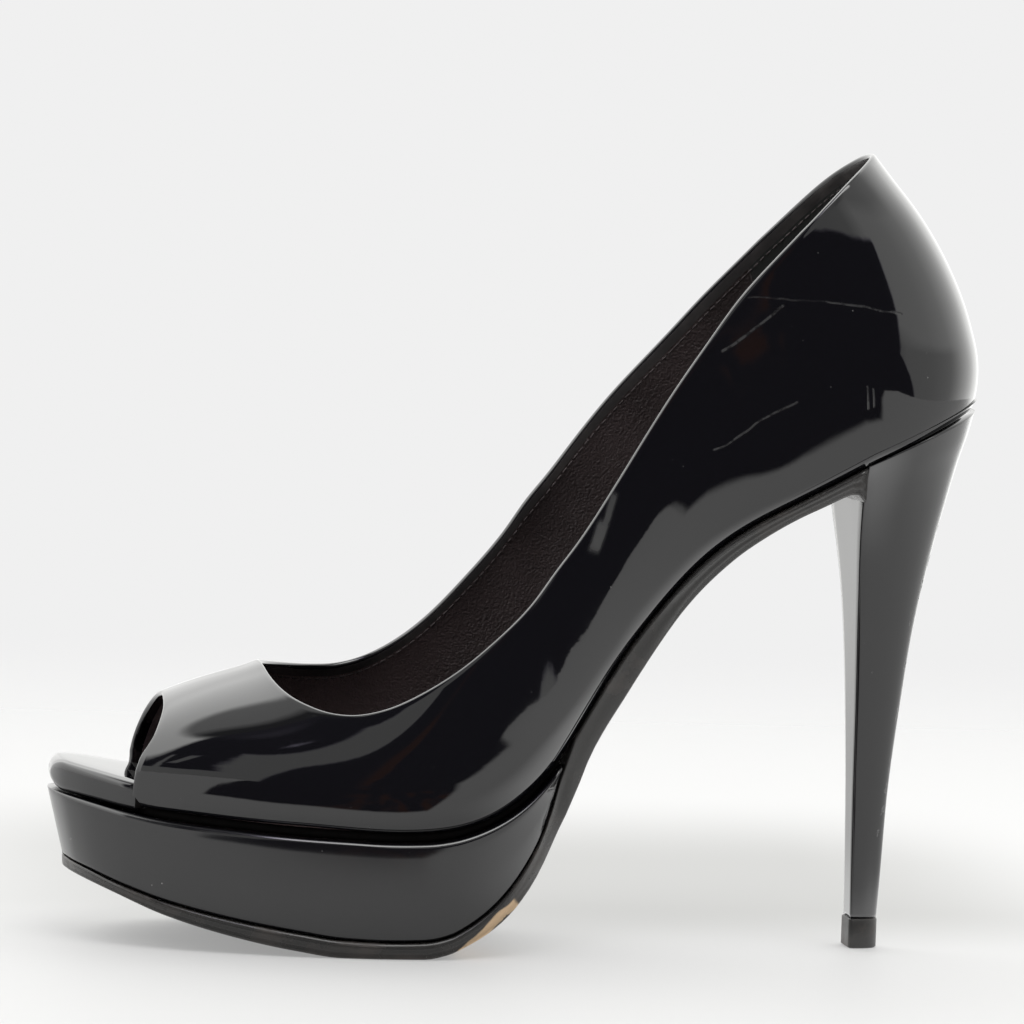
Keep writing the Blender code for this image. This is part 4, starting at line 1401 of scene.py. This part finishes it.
@dataclass
class Studio:
    """Pale floor, soft studio light and the camera. Depths and spans are in metres, turns in radians."""

    floor_side: float = 0.9
    floor_front: float = 1.2
    floor_back: float = 3.0
    floor_near: Colour = (0.35, 0.35, 0.348)
    # colour of the painted shadow on the paper under and behind the shoe
    floor_shade: Colour = (0.19, 0.19, 0.184)
    floor_light: Colour = (1.0, 1.0, 0.995)
    floor_glow: float = 0.30
    floor_rough: float = 0.6
    floor_shine: float = 0.1
    shade_depth: Window = (-0.02, 0.07, 0.16, 0.34)
    shade_across: Window = (-0.17, -0.05, 0.10, 0.20)
    floor_end: Pair = (0.15, 0.95)
    # painted reflection: where the paper glows for reflections only, and how strongly
    patch_depth: Pair = (-0.13, -0.04)
    patch_across: Window = (0.0, 0.08, 0.14, 0.22)
    bright_patch: float = 0.8
    table_edge: Stops = ((-0.65, -1.2), (-0.13, -0.115), (0.0, -0.115), (0.06, -0.21), (0.10, -0.30), (0.20, -0.40),
                         (0.28, -0.42), (0.45, -0.80), (0.9, -1.6))
    edge_across: Pair = (0.0, 0.15)
    edge_softness: Pair = (0.008, 0.06)
    edge_span: Pair = (-1.0, 0.3)
    walls: Stops = ((-1.9, 2.1), (-1.05, 2.1), (-0.98, 0.66), (-0.42, 0.55), (0.55, 0.55), (0.74, 0.95), (1.1, 1.0),
                    (1.5, 1.2), (1.9, 1.9), (2.3, 2.6), (2.6, 2.2), (3.0, 1.9))
    wall_tiers: Stops = ((0.13, 0.75), (0.19, 1.08), (0.58, 1.08), (0.66, 0.80))
    tiers_around: Window = (0.3, 0.6, 1.4, 1.9)
    back_tiers: Stops = ((0.0, 0.6), (0.5, 1.0), (0.62, 1.3))
    back_left: Pair = (-1.1, -1.0)
    back_right: Pair = (2.6, 3.0)
    wall_tint: Colour = (1.0, 1.0, 0.985)
    ceiling: Stops = ((-1.6, 0.8), (-1.35, 0.4), (-1.2, 0.1), (-0.85, 0.1), (-0.55, 0.35), (-0.4, 0.7))
    ceiling_span: Pair = (0.90, 0.94)
    front_box: float = 5.0
    front_box_span: Pair = (0.80, 0.84)
    front_box_around: Window = (-0.45, -0.38, 0.95, 1.05)
    dark: float = 0.055
    dark_tint: Colour = (0.85, 0.80, 1.0)
    dark_right: Stops = ((-0.25, 0.95), (0.10, 0.66), (0.2, 0.73), (0.5, 0.78))
    dark_left: Stops = ((-0.4, -0.53), (0.0, -0.42), (0.3, -0.345), (0.45, -0.28), (0.62, -0.20))
    dark_top: Stops = ((0.0, 0.75), (0.08, 0.385), (0.75, 0.475))
    dark_edge: Pair = (-0.015, 0.015)
    ragged: float = 0.05
    ragged_noise: Pair = (6.0, 4.0)
    screen_around: Window = (-0.99, -0.96, -0.53, -0.50)
    screen_foot: Pair = (0.17, 0.21)
    cap_around: Window = (-0.57, -0.54, -0.27, -0.22)
    cap_foot: Pair = (0.71, 0.75)
    wide_gap: float = -0.99
    wide_gap_lean: float = 0.5
    wide_gap_half: Pair = (0.03, 0.05)
    wide_gap_height: Window = (0.36, 0.42, 0.62, 0.67)
    thin_gap: float = -0.88
    thin_gap_half: Pair = (0.012, 0.025)
    thin_gap_top: Pair = (0.62, 0.67)
    brown_light: float = 0.07
    brown_tint: Colour = (1.0, 0.50, 0.38)
    brown_spots: Patches = Patches(9.0, 4.0, 0.45, 0.55)
    brown_around: Window = (-0.15, -0.11, -0.06, -0.02)
    brown_top: Pair = (0.38, 0.44)
    brown_floor: Patches = Patches(14.0, 4.0, 0.45, 0.55)
    brown_stretch: Point = (2.5, 0.5, 1.0)
    brown_depth: Pair = (-0.34, -0.28)
    brown_across: Window = (-0.09, -0.06, 0.03, 0.06)
    azimuth: float = -8.5
    distance: float = 1.2
    height: float = 0.158
    roll: float = 2.0
    pixels_per_metre: float = 4300.0
    image_width: int = 1024
    sensor: float = 36.0
    reach: float = 50.0
    target: Point = (-0.0014, 0.0, 0.1001)
    backdrop: Colour = (0.871, 0.871, 0.871)

    def camera(self) -> None:
        """Sets the camera at the photograph's angle, for a square image."""
        a = math.radians(self.azimuth)
        place = Vector((self.distance * math.sin(a), -self.distance * math.cos(a), self.height))
        aim = Vector(self.target) - place
        length = aim.length
        aim.normalize()
        right = aim.cross(Vector((0, 0, 1))).normalized()
        up = right.cross(aim)
        t = math.radians(self.roll)
        turned = right * math.cos(t) + up * math.sin(t)
        top = -right * math.sin(t) + up * math.cos(t)
        data = bpy.data.cameras.new("camera")
        data.sensor_width = self.sensor
        data.lens = self.pixels_per_metre * length / self.image_width * self.sensor
        data.clip_end = self.reach
        camera = bpy.data.objects.new("camera", data)
        matrix = Matrix((turned, top, -aim)).transposed().to_4x4()
        matrix.translation = place
        camera.matrix_world = matrix
        bpy.context.scene.collection.objects.link(camera)
        bpy.context.scene.camera = camera

    def paper(self, n: Finish) -> Socket:
        """The pale paper: a painted shadow under and behind the shoe, a painted glow seen brighter in reflections, and
        gone far behind.
        """
        across, depth, _ = n.axes()
        # painted shadow: the paper's colour goes darker under and behind the shoe
        shade = n.times(n.window(depth, self.shade_depth), n.window(across, self.shade_across))
        n.surface({"Base Color": n.mix(shade, self.floor_near, self.floor_shade), "Emission Color": self.floor_light,
                   "Emission Strength": self.floor_glow, "Roughness": self.floor_rough,
                   "Specular IOR Level": self.floor_shine})
        paper = n.node("MixShader", 0, {0: n.band(depth, *self.floor_end), 1: n.shader.outputs[0],
                                        2: n.node("BsdfTransparent")})
        # painted reflection: a glow on the paper beside the shoe that only reflections see
        patch = n.times(n.band(depth, *self.patch_depth), n.window(across, self.patch_across),
                        n.node("LightPath", "Is Glossy Ray"), self.bright_patch)
        return n.node("AddShader", 0, {0: paper, 1: n.node("Emission", 0, {"Strength": patch})})

    def beyond(self, n: Finish) -> Socket:
        """The dark room beyond the table's edge, with brown spots: a painted reflection on the paper that only
        reflections see.
        """
        across, depth, _ = n.axes()
        cut = self.brown_floor
        stretched = n.node("Mapping", 0, {"Vector": n.place, "Scale": self.brown_stretch})
        spots = n.band(n.noise(cut.scale, cut.detail, cut.rough, stretched), cut.low, cut.high)
        warm = n.times(spots, n.band(depth, *self.brown_depth), n.window(across, self.brown_across))
        return n.node("Emission", 0, {"Color": n.mix(warm, self.dark_tint, self.brown_tint),
                                      "Strength": n.plus(n.times(warm, self.brown_light), self.dark)})

    def floor(self) -> None:
        """A pale sheet of paper on the table, which fades into the backdrop far behind the shoe."""
        side, front, back = self.floor_side, -self.floor_front, self.floor_back
        corners = [(-side, front, 0), (side, front, 0), (side, back, 0), (-side, back, 0)]
        floor = mesh_piece("floor", np.array(corners), [(0, 1, 2, 3)], smooth=False)
        n = Finish("floor_paper")
        across, depth, _ = n.axes()
        past_edge = n.minus(depth, n.profile(across, self.table_edge))
        softness = n.band(across, *self.edge_across, *self.edge_softness)
        past_edge = n.fade(n.math(Operation.DIVIDE, past_edge, softness), *self.edge_span)
        # painted reflection: past the table's edge, reflections see the dark room instead of the paper
        seen = n.node("MixShader", 0, {0: n.times(past_edge, n.node("LightPath", "Is Glossy Ray")), 1: self.paper(n),
                                       2: self.beyond(n)})
        n.put(n.tree.nodes["Material Output"].inputs["Surface"], seen)
        floor.data.materials.append(n.material)
        log.info("%s: %d faces", floor.name, len(floor.data.polygons))

    def wall_light(self, n: Graph, azimuth: Socket, z: Socket) -> Socket:
        """How bright the pale walls are, round the room and up."""
        at_right = n.window(azimuth, self.tiers_around)
        at_back = n.most(n.fade(azimuth, *self.back_left), n.band(azimuth, *self.back_right))
        return n.times(n.profile(azimuth, self.walls), n.blend(at_right, 1.0, n.profile(z, self.wall_tiers)),
                       n.blend(at_back, 1.0, n.profile(z, self.back_tiers)))

    def dark_forms(self, n: Graph, azimuth: Socket, z: Socket) -> Socket:
        """Mask of the dark things behind the camera, with ragged edges: a tall form, and a screen with two gaps."""
        ragged = n.times(n.minus(n.noise(*self.ragged_noise), 0.5), self.ragged)
        around, height = n.plus(azimuth, ragged), n.plus(z, ragged)
        left = n.band(n.minus(around, n.profile(height, self.dark_left)), *self.dark_edge)
        right = n.fade(n.minus(around, n.profile(height, self.dark_right)), *self.dark_edge)
        under = n.fade(n.minus(height, n.profile(azimuth, self.dark_top)), *self.dark_edge)
        screen = n.times(n.window(around, self.screen_around), n.band(height, *self.screen_foot))
        cap = n.times(n.window(around, self.cap_around), n.band(height, *self.cap_foot))
        leaning = n.minus(around, n.times(height, self.wide_gap_lean))
        wide, thin = (n.math(Operation.ABSOLUTE, n.minus(value, middle))
                      for value, middle in ((leaning, self.wide_gap), (around, self.thin_gap)))
        gaps = n.most(n.times(n.fade(wide, *self.wide_gap_half), n.window(height, self.wide_gap_height)),
                      n.times(n.fade(thin, *self.thin_gap_half), n.fade(height, *self.thin_gap_top)))
        return n.most(n.times(left, right, under), n.times(n.most(screen, cap), n.minus(1.0, gaps)))

    def world(self) -> None:
        """The room as the shoe sees it: pale walls, a softbox at the left and a dark side behind the camera."""
        world = bpy.data.worlds.new("studio")
        world.use_nodes = True
        bpy.context.scene.world = world
        world.node_tree.nodes.clear()
        n = Graph(world.node_tree, "Generated")
        x, y, z = n.axes()
        azimuth = n.math(Operation.ARCTAN2, x, n.times(y, -1.0))
        dark = self.dark_forms(n, azimuth, z)
        light = n.blend(dark, self.wall_light(n, azimuth, z), self.dark)
        light = n.blend(n.band(z, *self.ceiling_span), light, n.profile(azimuth, self.ceiling))
        front_box = n.times(n.window(azimuth, self.front_box_around), n.band(z, *self.front_box_span))
        light = n.blend(front_box, light, self.front_box)
        warm = n.times(dark, n.patches(self.brown_spots), n.window(azimuth, self.brown_around),
                       n.fade(z, *self.brown_top))
        colour = n.mix(warm, n.mix(dark, self.wall_tint, self.dark_tint), self.brown_tint)
        surround = n.node("Background", 0, {"Color": colour,
                                            "Strength": n.plus(light, n.times(warm, self.brown_light))})
        shown = n.node("Background", 0, {"Color": self.backdrop})
        seen = n.node("MixShader", 0, {0: n.node("LightPath", "Is Camera Ray"), 1: surround, 2: shown})
        n.put(n.tree.nodes.new("ShaderNodeOutputWorld").inputs["Surface"], seen)

    def build(self) -> None:
        """Sets the stage."""
        self.camera()
        self.floor()
        self.world()
        bpy.context.scene.view_settings.view_transform = "Standard"


def main() -> None:
    """Builds the stage and every piece of the shoe."""
    logging.basicConfig(level=logging.INFO, format="%(name)s %(message)s")
    Studio().build()
    last = Last()
    for part in (Upper, Insole, Layers, Heel):
        part(last).build()


if __name__ == "__main__":
    main()
